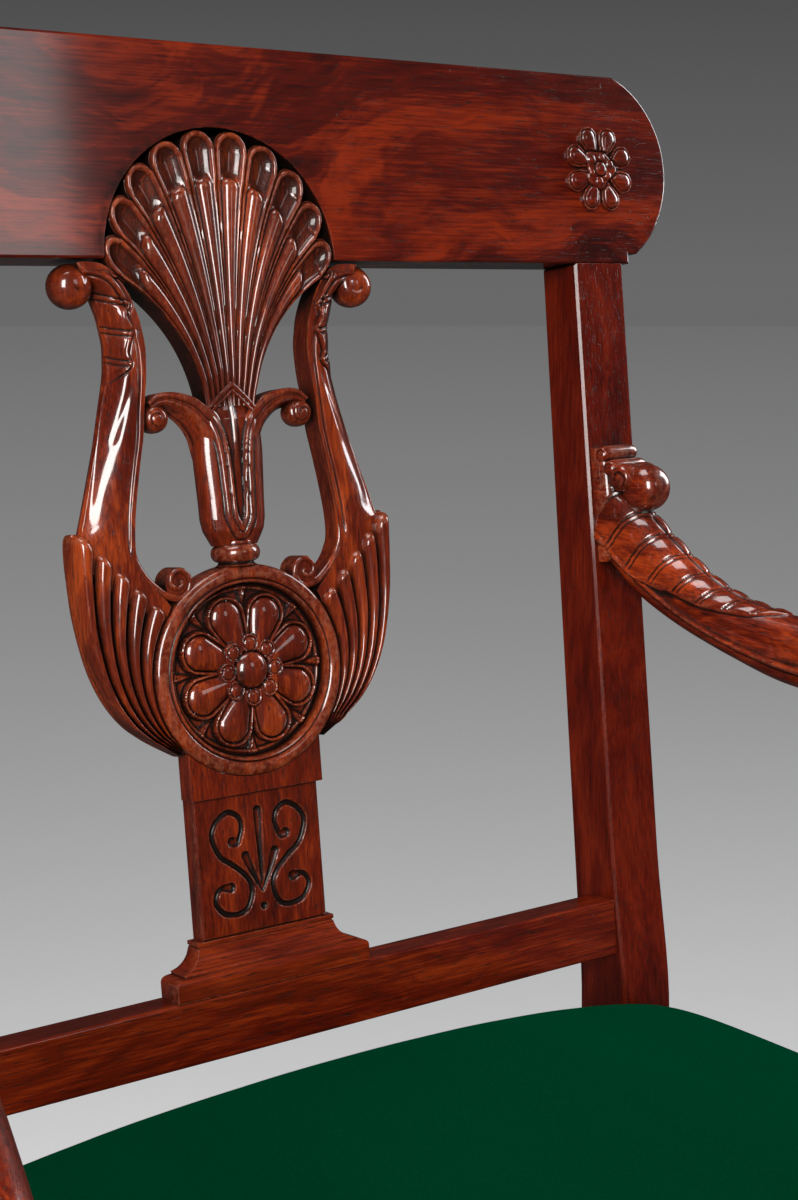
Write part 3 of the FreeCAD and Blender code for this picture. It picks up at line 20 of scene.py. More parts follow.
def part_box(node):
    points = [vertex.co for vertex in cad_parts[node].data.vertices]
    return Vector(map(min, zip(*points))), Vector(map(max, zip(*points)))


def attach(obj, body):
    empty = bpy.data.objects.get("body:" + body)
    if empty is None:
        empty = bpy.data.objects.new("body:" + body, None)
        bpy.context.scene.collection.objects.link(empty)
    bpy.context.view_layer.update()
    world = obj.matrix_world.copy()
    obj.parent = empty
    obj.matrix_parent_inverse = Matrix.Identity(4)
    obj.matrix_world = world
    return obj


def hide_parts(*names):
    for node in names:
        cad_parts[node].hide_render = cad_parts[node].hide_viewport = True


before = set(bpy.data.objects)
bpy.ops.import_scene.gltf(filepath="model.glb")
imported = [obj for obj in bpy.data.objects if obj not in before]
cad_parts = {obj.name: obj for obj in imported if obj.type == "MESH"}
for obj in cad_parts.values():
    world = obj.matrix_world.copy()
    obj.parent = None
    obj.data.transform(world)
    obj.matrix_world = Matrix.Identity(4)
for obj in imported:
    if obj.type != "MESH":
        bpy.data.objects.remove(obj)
LOG = logging.getLogger("lyre_back_chair")
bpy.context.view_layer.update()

Array = np.ndarray
Points = Sequence[tuple[float, float]]
Rule = Callable[[Array, Array], Array]
Colour = tuple[float, float, float]

MM = 0.001
RAKE = math.radians(7.13)
TAPER = math.tan(math.radians(5))
BACK_DEPTH, BACK_HEIGHT = 0.2284, 0.828
BACK = (
    Matrix.Translation((0, BACK_DEPTH, BACK_HEIGHT))
    @ Matrix.Rotation(-RAKE, 4, "X") @ Matrix.Scale(MM, 4)
)
ARM_OUT = 0.2133
ARM_SPLAY = math.radians(7.7)
ARM = (
    Matrix.Translation((ARM_OUT, BACK_DEPTH, BACK_HEIGHT))
    @ Matrix.Rotation(ARM_SPLAY, 4, "Z") @ Matrix.Scale(MM, 4)
)


# Numbers along lines and across reeds


def ease(low: float, high: float, x: Array) -> Array:
    """Rise smoothly from 0 at low to 1 at high."""
    t = np.clip((x - low) / (high - low), 0, 1)
    return t * t * (3 - 2 * t)


def dome(x: Array) -> Array:
    """Half round: 1 in the middle, 0 from one unit out."""
    return np.sqrt(np.clip(1 - x * x, 0, 1))


def cut(distance: Array, width: float) -> Array:
    """A soft V cut: 1 on its line, 0 from its width out."""
    return 1 - ease(0, width, np.abs(distance))


def stack(x: Array, y: Array, z: Array) -> Array:
    """Join three coordinates into rows of points."""
    return np.stack([x, y, z], axis=-1)


class Line:
    """A smooth open line through points of a plane."""

    def __init__(self, points: Points, even: bool = True, samples: int = 160) -> None:
        """Sample the line.

        Args:
            points: The points that it goes through.
            even: Whether its parameter follows its length, and not the count of points.
            samples: How many places of it are kept.
        """
        given = np.array(points, float)
        padded = np.vstack([2 * given[0] - given[1], given, 2 * given[-1] - given[-2]])
        where = np.linspace(0, len(given) - 1, samples)
        index = np.minimum(where.astype(int), len(given) - 2)
        t = (where - index)[:, None]
        a, b, c, d = (padded[index + step] for step in range(4))
        self.places: Array = 0.5 * (
            2 * b + (c - a) * t + (2 * a - 5 * b + 4 * c - d) * t**2 + (3 * b - a - 3 * c + d) * t**3
        )
        steps = np.linalg.norm(np.diff(self.places, axis=0), axis=1)
        run = np.concatenate([[0], np.cumsum(steps)])
        self.length: float = float(run[-1])
        self.shares: Array = run / run[-1] if even else np.linspace(0, 1, samples)

    def at(self, t: Array) -> tuple[Array, Array]:
        """Give the two coordinates at shares of the line."""
        return np.interp(t, self.shares, self.places[:, 0]), np.interp(t, self.shares, self.places[:, 1])

    def normal(self, t: Array) -> tuple[Array, Array]:
        """Give the unit direction to the left of the line."""
        ahead, behind = self.at(np.minimum(t + 0.004, 1)), self.at(np.maximum(t - 0.004, 0))
        dx, dy = ahead[0] - behind[0], ahead[1] - behind[1]
        size = np.hypot(dx, dy)
        return -dy / size, dx / size

    def reach(self, x: Array, y: Array) -> tuple[Array, Array]:
        """Give the distance of points from the line, and the share where it is nearest.

        Args:
            x: First coordinates of the points.
            y: Second coordinates of the points.

        Returns:
            Distances and shares.
        """
        best = np.full(x.shape, 1e9)
        share = np.zeros(x.shape)
        for index in range(len(self.places) - 1):
            (ax, ay), (bx, by) = self.places[index], self.places[index + 1]
            span = max((bx - ax) ** 2 + (by - ay) ** 2, 1e-12)
            t = np.clip(((x - ax) * (bx - ax) + (y - ay) * (by - ay)) / span, 0, 1)
            gap = np.hypot(x - ax - t * (bx - ax), y - ay - t * (by - ay))
            near = gap < best
            best = np.where(near, gap, best)
            low, high = self.shares[index], self.shares[index + 1]
            share = np.where(near, low + t * (high - low), share)
        return best, share


# Shader values and nodes


class Wire:
    """A number inside a shader: arithmetic on it adds Math nodes."""

    def __init__(self, shader: "Shader", socket: bpy.types.NodeSocket) -> None:
        """Wrap an output socket of a shader."""
        self.shader = shader
        self.socket = socket

    def math(self, operation: str, *others: "Number", clamp: bool = False) -> "Wire":
        """Add a Math node that starts from this value."""
        return self.shader.math(operation, self, *others, clamp=clamp)

    def __add__(self, other: "Number") -> "Wire":
        """Add."""
        return self.math("ADD", other)

    __radd__ = __add__

    def __sub__(self, other: "Number") -> "Wire":
        """Subtract."""
        return self.math("SUBTRACT", other)

    def __rsub__(self, other: "Number") -> "Wire":
        """Subtract from a number."""
        return self.shader.math("SUBTRACT", other, self)

    def __mul__(self, other: "Number") -> "Wire":
        """Multiply."""
        return self.math("MULTIPLY", other)

    __rmul__ = __mul__

    def __truediv__(self, other: "Number") -> "Wire":
        """Divide."""
        return self.math("DIVIDE", other)

    def __rtruediv__(self, other: "Number") -> "Wire":
        """Divide a number by this."""
        return self.shader.math("DIVIDE", other, self)

    def __pow__(self, other: "Number") -> "Wire":
        """Raise to a power."""
        return self.math("POWER", other)

    def ramp(self, low: float, high: float) -> "Wire":
        """Rise smoothly from 0 at low to 1 at high, or fall where low is the higher."""
        settings = {"interpolation_type": "SMOOTHSTEP"}
        return self.shader.wire("ShaderNodeMapRange", settings, {0: self, 1: low, 2: high, 3: 0.0, 4: 1.0})


Number = Union[Wire, float]


class Shader:
    """A material's node tree, filled through one method."""

    def __init__(self, name: str, world: bpy.types.World | None = None) -> None:
        """Start an empty material, or clear a world's nodes where one is given."""
        self.material = world or bpy.data.materials.new(name)
        self.material.use_nodes = True
        self.tree = self.material.node_tree
        self.tree.nodes.clear()

    def add(
        self, kind: str, settings: dict[str, Any] | None = None, inputs: dict[int | str, Any] | None = None
    ) -> bpy.types.Node:
        """Add any node.

        Args:
            kind: The node's type.
            settings: Its properties, and "stops" for the stops of a ramp, set first.
            inputs: Values or links of its sockets, by name or number.

        Returns:
            The node.
        """
        node = self.tree.nodes.new(kind)
        for name, value in (settings or {}).items():
            if name == "stops":
                self._stops(node.color_ramp, value)
            else:
                setattr(node, name, value)
        for name, value in (inputs or {}).items():
            if isinstance(value, Wire):
                value = value.socket
            if isinstance(value, bpy.types.NodeSocket):
                self.tree.links.new(value, node.inputs[name])
            elif isinstance(value, tuple) and node.inputs[name].type == "RGBA":
                node.inputs[name].default_value = (*value, 1.0)[:4]
            else:
                node.inputs[name].default_value = value
        return node

    @staticmethod
    def _stops(ramp: bpy.types.ColorRamp, stops: Sequence[tuple[float, Colour]]) -> None:
        """Set the stops of a colour ramp."""
        while len(ramp.elements) < len(stops):
            ramp.elements.new(0.5)
        for element, (position, colour) in zip(ramp.elements, stops):
            element.position = position
            element.color = (*colour, 1.0)

    def wire(
        self, kind: str, settings: dict[str, Any] | None = None, inputs: dict[int | str, Any] | None = None,
        output: int | str = 0,
    ) -> Wire:
        """Add a node and give one of its outputs as a value."""
        return Wire(self, self.add(kind, settings, inputs).outputs[output])

    def math(self, operation: str, *values: Number, clamp: bool = False) -> Wire:
        """Add a Math node on values or links."""
        settings = {"operation": operation, "use_clamp": clamp}
        return self.wire("ShaderNodeMath", settings, dict(enumerate(values)))

    def mix(self, factor: Number, a: Any, b: Any, blend: str = "MIX") -> bpy.types.NodeSocket:
        """Mix two colours.

        Args:
            factor: Share of the second colour.
            a: First colour or link.
            b: Second colour or link.
            blend: How they are mixed.

        Returns:
            The mixed colour's socket.
        """
        settings = {"data_type": "RGBA", "blend_type": blend, "clamp_factor": True}
        return self.add("ShaderNodeMix", settings, {0: factor, 6: a, 7: b}).outputs[2]

    def place(
        self, location: Colour = (0, 0, 0), turn: Colour = (0, 0, 0), scale: Colour = (1, 1, 1)
    ) -> bpy.types.NodeSocket:
        """Give object coordinates through a Mapping node."""
        source = self.add("ShaderNodeTexCoord").outputs["Object"]
        inputs = {"Vector": source, "Location": location, "Rotation": turn, "Scale": scale}
        return self.add("ShaderNodeMapping", {"vector_type": "POINT"}, inputs).outputs[0]

    def noise(
        self, vector: Any, scale: float, detail: float = 3.0, rough: float = 0.5, warp: float = 0.0
    ) -> Wire:
        """Add a noise on a vector."""
        inputs = {"Vector": vector, "Scale": scale, "Detail": detail, "Roughness": rough, "Distortion": warp}
        return self.wire("ShaderNodeTexNoise", {"noise_dimensions": "3D"}, inputs)

    def bump(self, height: Number, strength: float, distance: float, under: Any = None) -> Any:
        """Add a Bump node, over another one's normal where that is given."""
        inputs = {"Height": height, "Strength": strength, "Distance": distance}
        if under is not None:
            inputs["Normal"] = under
        return self.add("ShaderNodeBump", None, inputs).outputs[0]

    def stretch(self, vector: Any, factors: Colour) -> bpy.types.NodeSocket:
        """Multiply the parts of a vector."""
        return self.add("ShaderNodeVectorMath", {"operation": "MULTIPLY"}, {0: vector, 1: factors}).outputs[0]

    def dot(self, a: Any, b: Any) -> Wire:
        """Give how far two unit vectors point the same way."""
        return self.wire("ShaderNodeVectorMath", {"operation": "DOT_PRODUCT"}, {0: a, 1: b}, 1)

    def grey(self, level: Number) -> Wire:
        """Give a grey of this level."""
        return self.wire("ShaderNodeCombineColor", None, {0: level, 1: level, 2: level})

    def threads(self, vector: Any, pitch: float) -> Wire:
        """Cross two rows of threads, as a height from -1 to 1."""
        axes = self.add("ShaderNodeSeparateXYZ", None, {0: vector})
        turn = 2 * math.pi / pitch
        warp, weft = ((Wire(self, axes.outputs[index]) * turn).math("SINE") for index in (0, 1))
        return warp * weft

    def looks(self) -> tuple[Wire, bpy.types.NodeSocket]:
        """Tell the rays that look from those that light, and give the glossy ones apart."""
        path = self.add("ShaderNodeLightPath").outputs
        eye = Wire(self, path["Is Camera Ray"]).math("MAXIMUM", Wire(self, path["Is Glossy Ray"]))
        return eye.math("MAXIMUM", Wire(self, path["Is Transmission Ray"])), path["Is Glossy Ray"]

    def principled(self, inputs: dict[int | str, Any]) -> bpy.types.Material:
        """Give the material, closed with a Principled shader."""
        return self.close(self.add("ShaderNodeBsdfPrincipled", None, inputs).outputs[0])

    def close(self, surface: bpy.types.NodeSocket) -> bpy.types.Material:
        """Link the surface to the output and give the material."""
        self.add("ShaderNodeOutputMaterial", None, {"Surface": surface})
        return self.material


class Grain(Enum):
    """Which way the wood's fibres run, as the turn that lays them along X."""

    ACROSS = (0.0, 0.0, 0.0)
    UPRIGHT = (0.0, math.pi / 2, 0.0)
    DEEP = (0.0, 0.0, math.pi / 2)


@dataclass(frozen=True)
class Mahogany:
    """French polished mahogany; dirt and painted shade in its hollows, wear and painted highlight on its
    arrises.
    """

    name: str
    grain: Grain = Grain.UPRIGHT
    place: Colour = (0.0, 0.0, 0.0)
    deep: Colour = (0.018, 0.001, 0.0004)
    middle: Colour = (0.09, 0.0048, 0.0008)
    glow: Colour = (0.25, 0.026, 0.0026)
    figure: float = 0.5
    figure_scale: float = 24.0
    # Strength of the darkening in hollows and sheltered corners: part dirt, part painted shade.
    glaze_and_shade: float = 1.0
    # How much painted shade darkens faces that turn away from the front.
    sides: float = 0.0
    # Whether arrises get the Bevel normal and a painted highlight along with their wear.
    edges: bool = False
    # Whether the rail's recess round the shell gets painted shade.
    recess: bool = False
    polish: float = 0.9

    def make(self) -> bpy.types.Material:
        """Build the material."""
        s = Shader(self.name)
        along = s.place(self.place, self.grain.value)
        stretched = s.stretch(along, (0.16, 1.0, 1.0))
        sway = s.noise(along, 5.5, 3)
        swayed = s.add(
            "ShaderNodeVectorMath", {"operation": "MULTIPLY_ADD"},
            {0: s.add("ShaderNodeCombineXYZ", None, {0: sway, 1: sway, 2: sway}).outputs[0],
             1: (0.0, 0.1, 0.1), 2: stretched},
        ).outputs[0]
        flame = s.noise(swayed, self.figure_scale, 4, 0.55, 0.7)
        stripe = s.noise(swayed, 90, 5, 0.65, 0.3)
        contour = (flame * 62).math("SINE")
        fibre = s.noise(s.stretch(along, (0.04, 1, 1)), 900, 2, 0.6)
        pores = s.noise(s.stretch(along, (0.07, 1, 1)), 1500, 1, 0.5).ramp(0.63, 0.72)
        tone = 0.5 + (flame - 0.5) * (2.9 * self.figure) + (stripe - 0.5) * 1.15 + (fibre - 0.5) * 0.85
        tone = tone + contour * (0.1 * self.figure)
        colour = s.add(
            "ShaderNodeValToRGB",
            {"stops": ((0.12, self.deep), (0.5, self.middle), (0.92, self.glow))}, {0: tone},
        ).outputs[0]
        blotch = s.noise(along, 14, 3).ramp(0.35, 0.75)
        colour = s.mix(blotch * 0.14, colour, self.glow)
        colour = s.mix(pores * 0.7, colour, (0.01, 0.0025, 0.0015))
        # Hollows darken: partly dirt left in the carving, partly painted shade in the relief's hollows.
        hollow = s.wire("ShaderNodeAttribute", {"attribute_name": "hollow"}, None, "Fac")
        grime_and_shade_noise = s.noise(s.place(), 260, 3)
        deep = (hollow + (grime_and_shade_noise - 0.5) * 0.35).ramp(0.08, 0.6) * (0.95 * self.glaze_and_shade)
        if self.recess:
            local = s.add(
                "ShaderNodeVectorRotate", {"rotation_type": "X_AXIS"},
                {"Vector": s.place((0.0, -BACK_DEPTH, -BACK_HEIGHT)), "Angle": RAKE},
            ).outputs[0]
            axes = s.add("ShaderNodeSeparateXYZ", None, {0: local})
            x, depth, up = (Wire(s, axes.outputs[index]) for index in range(3))
            radius = (x * x + up * up) ** 0.5
            # The recess floor behind the shell gets painted shade, almost black; rim darkens a band round the
            # recess's edge, on its left side only.
            well = depth.ramp(0.0006, 0.0024) * radius.ramp(0.0582, 0.0572)
            rim = depth.ramp(0.003, 0.0) * (1 - (radius - 0.0595).math("ABSOLUTE").ramp(0.0, 0.0045)) * 0.6
            left = (x + 0.01).ramp(0.02, -0.03)
            deep = deep + well * 0.97 + rim * grime_and_shade_noise.ramp(0.35, 0.6) * left
        # Painted shade: ambient occlusion darkens corners, recesses and the joins between parts.
        occlusion_shade = s.wire("ShaderNodeAmbientOcclusion", {"samples": 6}, {"Distance": 0.012}, "AO")
        deep = deep + (occlusion_shade + (grime_and_shade_noise - 0.5) * 0.3).ramp(0.74, 0.26) * (0.85 * self.glaze_and_shade)
        # Painted shade: faces turned away from the front, such as the side walls of the shell and limbs, are
        # darkened.
        if self.sides:
            normal = s.add("ShaderNodeNewGeometry").outputs["Normal"]
            facing = s.dot(normal, (0.0, -math.cos(RAKE), math.sin(RAKE)))
            deep = deep + (facing.math("ABSOLUTE") + (grime_and_shade_noise - 0.5) * 0.2).ramp(0.3, 0.05) * self.sides
        deep = deep.math("MINIMUM", 1.0)
        # Lighter on ridges and arrises: partly rubbed wear, partly a painted highlight along the arrises
        # where edges is set.
        wear_and_highlight = (0 - hollow).ramp(0.12, 0.9)
        soft = None
        if self.edges:
            soft = s.add("ShaderNodeBevel", {"samples": 6}, {"Radius": 0.0008}).outputs[0]
            plain = s.add("ShaderNodeNewGeometry").outputs["Normal"]
            wear_and_highlight = wear_and_highlight + s.dot(soft, plain).ramp(0.99, 0.86) * 1.1
        scuff = s.noise(s.place(), 420, 4, 0.65).ramp(0.4, 0.64)
        wear_and_highlight = wear_and_highlight * scuff
        colour = s.mix(wear_and_highlight * 0.32, colour, (0.4, 0.13, 0.065))
        # Mix in the dark colour where hollows, corners and side walls darken: dirt and painted shade.
        colour = s.mix(deep, colour, (0.0075, 0.0034, 0.0024))
        nicks = s.noise(s.place((3.1, 0.7, 1.9)), 210, 2, 0.5).ramp(0.725, 0.78)
        colour = s.mix(nicks * 0.6, colour, (0.016, 0.005, 0.003))
        smear = s.noise(s.place(), 34, 4, 0.6)
        rough = 0.25 + smear * 0.14 + wear_and_highlight * 0.12 + deep * 0.12 + pores * 0.1
        tooled = s.noise(s.place(), 1100, 2) * (0.3 + deep * 2.8) + s.noise(s.place(), 300, 2) * 0.6
        surface = s.bump(stripe * 0.5 + fibre * 0.5 - pores * 0.7 - nicks * 1.5, 0.5, 0.0003, soft)
        surface = s.bump(tooled + smear * 1.2, 0.3, 0.0005, surface)
        return s.principled({
            "Base Color": colour, "Roughness": rough, "IOR": 1.5, "Normal": surface,
            "Coat Weight": (1 - deep * 0.75) * self.polish, "Coat Roughness": 0.09, "Coat IOR": 1.65,
            "Specular IOR Level": 0.18,
        })


@dataclass(frozen=True)
class PlainWood:
    """Bare planed beech of the hidden frame, yellowed with age."""

    name: str = "aged_beech"
    grain: Grain = Grain.ACROSS
    pale: Colour = (0.42, 0.26, 0.13)
    dark: Colour = (0.19, 0.1, 0.045)

    def make(self) -> bpy.types.Material:
        """Build the material."""
        s = Shader(self.name)
        turned = s.place((0, 0, 0), self.grain.value, (0.09, 1, 1))
        rings = s.noise(turned, 45, 4, 0.6, 0.6)
        flecks = s.noise(turned, 420, 2).ramp(0.56, 0.66)
        stain = s.noise(s.place(), 9, 4).ramp(0.4, 0.7)
        colour = s.mix(rings.ramp(0.3, 0.7), self.pale, self.dark)
        colour = s.mix(flecks * 0.5, colour, self.dark)
        colour = s.mix(stain * 0.5, colour, (0.11, 0.06, 0.03))
        surface = s.bump(rings + flecks * 0.5, 0.4, 0.0004)
        inputs = {"Base Color": colour, "Roughness": 0.62 + rings * 0.2, "Normal": surface}
        return s.principled(inputs)


@dataclass(frozen=True)
class Steel:
    """Old steel of screws and tacks."""

    name: str
    tint: Colour
    gloss: float = 0.42

    def make(self) -> bpy.types.Material:
        """Build the material."""
        s = Shader(self.name)
        rust = s.noise(s.place(), 700, 4, 0.65).ramp(0.5, 0.66)
        colour = s.mix(rust, self.tint, (0.09, 0.035, 0.015))
        inputs = {
            "Base Color": colour, "Metallic": 1 - rust * 0.8, "Roughness": self.gloss + rust * 0.35,
            "Normal": s.bump(rust, 0.3, 0.0002),
        }
        return s.principled(inputs)


@dataclass(frozen=True)
class Weave:
    """A plain woven cloth: jute web or linen."""

    name: str
    thread: Colour
    shade: Colour
    pitch: float

    def make(self) -> bpy.types.Material:
        """Build the material."""
        s = Shader(self.name)
        basket = s.threads(s.place(), self.pitch) * 0.5 + 0.5
        slub = s.noise(s.place(), 240, 3)
        colour = s.mix(basket * 0.75 + (slub - 0.5) * 0.6, self.shade, self.thread)
        inputs = {"Base Color": colour, "Roughness": 0.92 - slub * 0.1, "Normal": s.bump(basket, 0.6, 0.0005)}
        return s.principled(inputs)


@dataclass(frozen=True)
class SeatCloth:
    """Close emerald wool cloth, drawn tight, with a short nap."""

    name: str = "emerald_cloth"
    body: Colour = (0.0, 0.038, 0.0142)
    shade: Colour = (0.0, 0.02, 0.0078)
    pitch: float = 0.0011

    def make(self) -> bpy.types.Material:
        """Build the material."""
        s = Shader(self.name)
        nap = s.noise(s.place(), 900, 3, 0.6)
        pulls = s.noise(s.place((0, 0, 0), (0, 0, 0.5), (1, 0.16, 1)), 26, 4, 0.6)
        cloud = s.noise(s.place(), 7, 3)
        weave = s.threads(s.place((0, 0, 0), (0, 0, 0.785)), self.pitch)
        share = 0.5 + (nap - 0.5) * 0.9 + (pulls - 0.5) * 0.25 + (cloud - 0.5) * 0.4
        colour = s.mix(share, self.shade, self.body)
        lint = s.noise(s.place((5, 2, 1)), 620, 1).ramp(0.78, 0.84)
        colour = s.mix(lint * 0.3, colour, (0.012, 0.1, 0.05))
        surface = s.bump(weave * 0.25 + nap, 0.5, 0.00035)
        surface = s.bump(pulls, 0.22, 0.002, surface)
        return s.principled({
            "Base Color": colour, "Roughness": 0.86 + nap * 0.12, "Specular IOR Level": 0.0,
            "Sheen Weight": 0.03, "Sheen Roughness": 0.4, "Sheen Tint": (0.0, 0.7, 0.35, 1.0),
            "Normal": surface,
        })


class Finishes:
    """Every finish of the chair, each made once."""

    def __init__(self) -> None:
        """Make the materials."""
        rail = Mahogany(
            "mahogany_top_rail", Grain.ACROSS, (0.31, 0.02, 0.4), figure=0.72, edges=True,
            middle=(0.068, 0.0032, 0.0005), glow=(0.2, 0.0165, 0.0016), recess=True,
        )
        self.top_rail = rail.make()
        self.stile = Mahogany(
            "mahogany_stiles", Grain.UPRIGHT, (0.2, 0.6, 0.1), figure=0.35, edges=True, polish=0.4,
            middle=(0.082, 0.0042, 0.0007), glow=(0.17, 0.013, 0.0016),
        ).make()
        self.cross_rail = Mahogany(
            "mahogany_cross_rail", Grain.ACROSS, (1.3, 0.2, 0.9), figure=0.2, edges=True,
        ).make()
        self.side_rail = Mahogany(
            "mahogany_side_rails", Grain.DEEP, (0.7, 1.2, 0.3), figure=0.5, edges=True,
        ).make()
        carved = Mahogany(
            "mahogany_carved", Grain.UPRIGHT, (0.9, 0.3, 0.5), figure=0.45,
            deep=(0.03, 0.0022, 0.0009), middle=(0.115, 0.0102, 0.0026), glow=(0.36, 0.05, 0.0068),
        )
        self.carved = carved.make()
        # The shell's and limbs' side walls take painted shade through sides.
        self.shell = replace(
            carved, name="mahogany_shell", sides=0.9, glaze_and_shade=0.72, middle=(0.105, 0.011, 0.0042),
        ).make()
        self.limb = replace(carved, name="mahogany_limbs", sides=0.35).make()
        self.rosette = Mahogany("mahogany_rosettes", Grain.ACROSS, (0.4, 1.3, 0.2), figure=0.3).make()
        self.arm = Mahogany(
            "mahogany_arms", Grain.DEEP, (0.5, 0.9, 0.7), figure=0.4,
            middle=(0.12, 0.0085, 0.0013), glow=(0.38, 0.042, 0.0045),
        ).make()
        plinth = Mahogany(
            "mahogany_plinth", Grain.UPRIGHT, (0.2, 0.9, 1.7), figure=0.3, edges=True, glaze_and_shade=1.3,
            middle=(0.12, 0.0085, 0.0013), glow=(0.3, 0.034, 0.0035),
        )
        self.plinth = plinth.make()
        self.plinth_base = replace(plinth, name="mahogany_base", grain=Grain.ACROSS).make()
        self.beech = PlainWood().make()
        self.beech_deep = PlainWood("aged_beech_side", Grain.DEEP).make()
        self.screws = Steel("screw_steel", (0.42, 0.4, 0.37)).make()
        self.tacks = Steel("blued_steel", (0.09, 0.095, 0.12), 0.35).make()
        self.web = Weave("jute_web", (0.4, 0.3, 0.17), (0.13, 0.085, 0.045), 0.0024).make()
        self.linen = Weave("grey_linen", (0.36, 0.31, 0.23), (0.13, 0.11, 0.08), 0.0013).make()
        self.seat = SeatCloth().make()


# Objects and their meshes


def put(name: str, data: bpy.types.ID) -> bpy.types.Object:
    """Put an object with this data into the scene."""
    made = bpy.data.objects.new(name, data)
    bpy.context.scene.collection.objects.link(made)
    return made


def places_of(mesh: bpy.types.Mesh) -> Array:
    """Give the vertices' places as rows of three."""
    places = np.empty(len(mesh.vertices) * 3)
    mesh.vertices.foreach_get("co", places)
    return places.reshape(-1, 3)


def ends_of(mesh: bpy.types.Mesh) -> Array:
    """Give the numbers of the edges' first vertices, and of their second ones."""
    ends = np.empty(len(mesh.edges) * 2, int)
    mesh.edges.foreach_get("vertices", ends)
    return ends.reshape(-1, 2).T


# Carved and turned pieces


class Carving:
    """A piece shaped in a bmesh of millimetres and set in place when it is finished."""

    def __init__(self) -> None:
        """Start an empty piece."""
        self.bm = bmesh.new()

    def sheet(self, columns: int, rows: int, rule: Rule) -> list[bmesh.types.BMVert]:
        """Lay a grid and move each vertex by a rule.

        Args:
            columns: Faces across.
            rows: Faces along.
            rule: Gives points from shares across and along.

        Returns:
            The grid's vertices.
        """
        made = bmesh.ops.create_grid(self.bm, x_segments=columns, y_segments=rows, size=0.5)["verts"]
        flat = np.array([vert.co[:2] for vert in made]) + 0.5
        for vert, place in zip(made, rule(flat[:, 0], flat[:, 1])):
            vert.co = place
        return made

    def rim(self, verts: Sequence[bmesh.types.BMVert]) -> list[bmesh.types.BMEdge]:
        """Give the open edges among vertices."""
        edges = {edge for vert in verts for edge in vert.link_edges if edge.is_boundary}
        return list(edges)

    def board(self, columns: int, rows: int, rule: Rule, back: float, axis: int = 1) -> None:
        """Make a solid: a carved face, walls to a flat back, and that back.

        Args:
            columns: Faces across.
            rows: Faces along.
            rule: Places the carved face.
            back: Where the back lies.
            axis: Which coordinate is the depth.
        """
        face = self.sheet(columns, rows, rule)
        walls = bmesh.ops.extrude_edge_only(self.bm, edges=self.rim(face))["geom"]
        ends = [part for part in walls if isinstance(part, bmesh.types.BMVert)]
        for vert in ends:
            vert.co[axis] = back
        bmesh.ops.holes_fill(self.bm, edges=self.rim(ends), sides=0)

    def tube(self, columns: int, rows: int, rule: Rule) -> None:
        """Make a closed skin: a grid whose two sides meet, with its ends filled or drawn to a point."""
        skin = self.sheet(columns, rows, rule)
        bmesh.ops.remove_doubles(self.bm, verts=skin, dist=0.01)
        rest = [vert for vert in skin if vert.is_valid]
        bmesh.ops.holes_fill(self.bm, edges=self.rim(rest), sides=0)

    def turned(self, profile: Points, centre: tuple[float, float, float], axis: Vector, steps: int) -> None:
        """Spin a profile of (out, along) round an axis through a centre.

        Args:
            profile: Distances out from the axis and along it.
            centre: A point of the axis.
            axis: The axis, along Y or Z.
            steps: Faces round.
        """
        middle = Vector(centre)
        out = Vector((1, 0, 0))
        verts = [self.bm.verts.new(middle + out * radius + axis * along) for radius, along in profile]
        edges = [self.bm.edges.new(pair) for pair in zip(verts, verts[1:])]
        bmesh.ops.spin(
            self.bm, geom=verts + edges, cent=middle, axis=axis, dvec=(0, 0, 0), angle=2 * math.pi,
            steps=steps, use_merge=True, use_duplicate=False,
        )
        bmesh.ops.remove_doubles(self.bm, verts=self.bm.verts[:], dist=0.005)

    def thicken(self, sheet: Sequence[bmesh.types.BMVert], thickness: float) -> None:
        """Give a sheet with these vertices its thickness."""
        kept = set(sheet)
        geom = [face for face in self.bm.faces if face.verts[0] in kept]
        bmesh.ops.solidify(self.bm, geom=geom, thickness=thickness)

    def mirror(self) -> "Carving":
        """Give the same piece for the other side."""
        other = Carving()
        other.bm = self.bm.copy()
        bmesh.ops.scale(other.bm, vec=(-1, 1, 1), verts=other.bm.verts)
        return other

    def finish(
        self, name: str, place: Matrix, material: bpy.types.Material, body: str = "frame",
        slot: str = "mahogany", replaces: Sequence[str] = (), crease: float = 42.0,
    ) -> bpy.types.Object:
        """Turn the bmesh into a finished object that rides on a body.

        Args:
            name: The piece's name.
            place: From the drawing's millimetres to the chair.
            material: Its finish.
            body: The body that it rides on.
            slot: Not used.
            replaces: CAD nodes that it stands for.
            crease: Faces that meet more sharply than this many degrees keep a crisp edge.

        Returns:
            The object.
        """
        bmesh.ops.recalc_face_normals(self.bm, faces=self.bm.faces)
        bmesh.ops.transform(self.bm, matrix=place, verts=self.bm.verts)
        if place.determinant() < 0:
            bmesh.ops.reverse_faces(self.bm, faces=self.bm.faces)
        mesh = bpy.data.meshes.new(name)
        self.bm.to_mesh(mesh)
        self.bm.free()
        mesh.polygons.foreach_set("use_smooth", [True] * len(mesh.polygons))
        mesh.set_sharp_from_angle(angle=math.radians(crease))
        measure_hollows(mesh)
        mesh.materials.append(material)
        piece = put(name, mesh)
        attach(piece, body)
        if replaces:
            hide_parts(*replaces)
        LOG.info("%s: %d faces", name, len(mesh.polygons))
        return piece


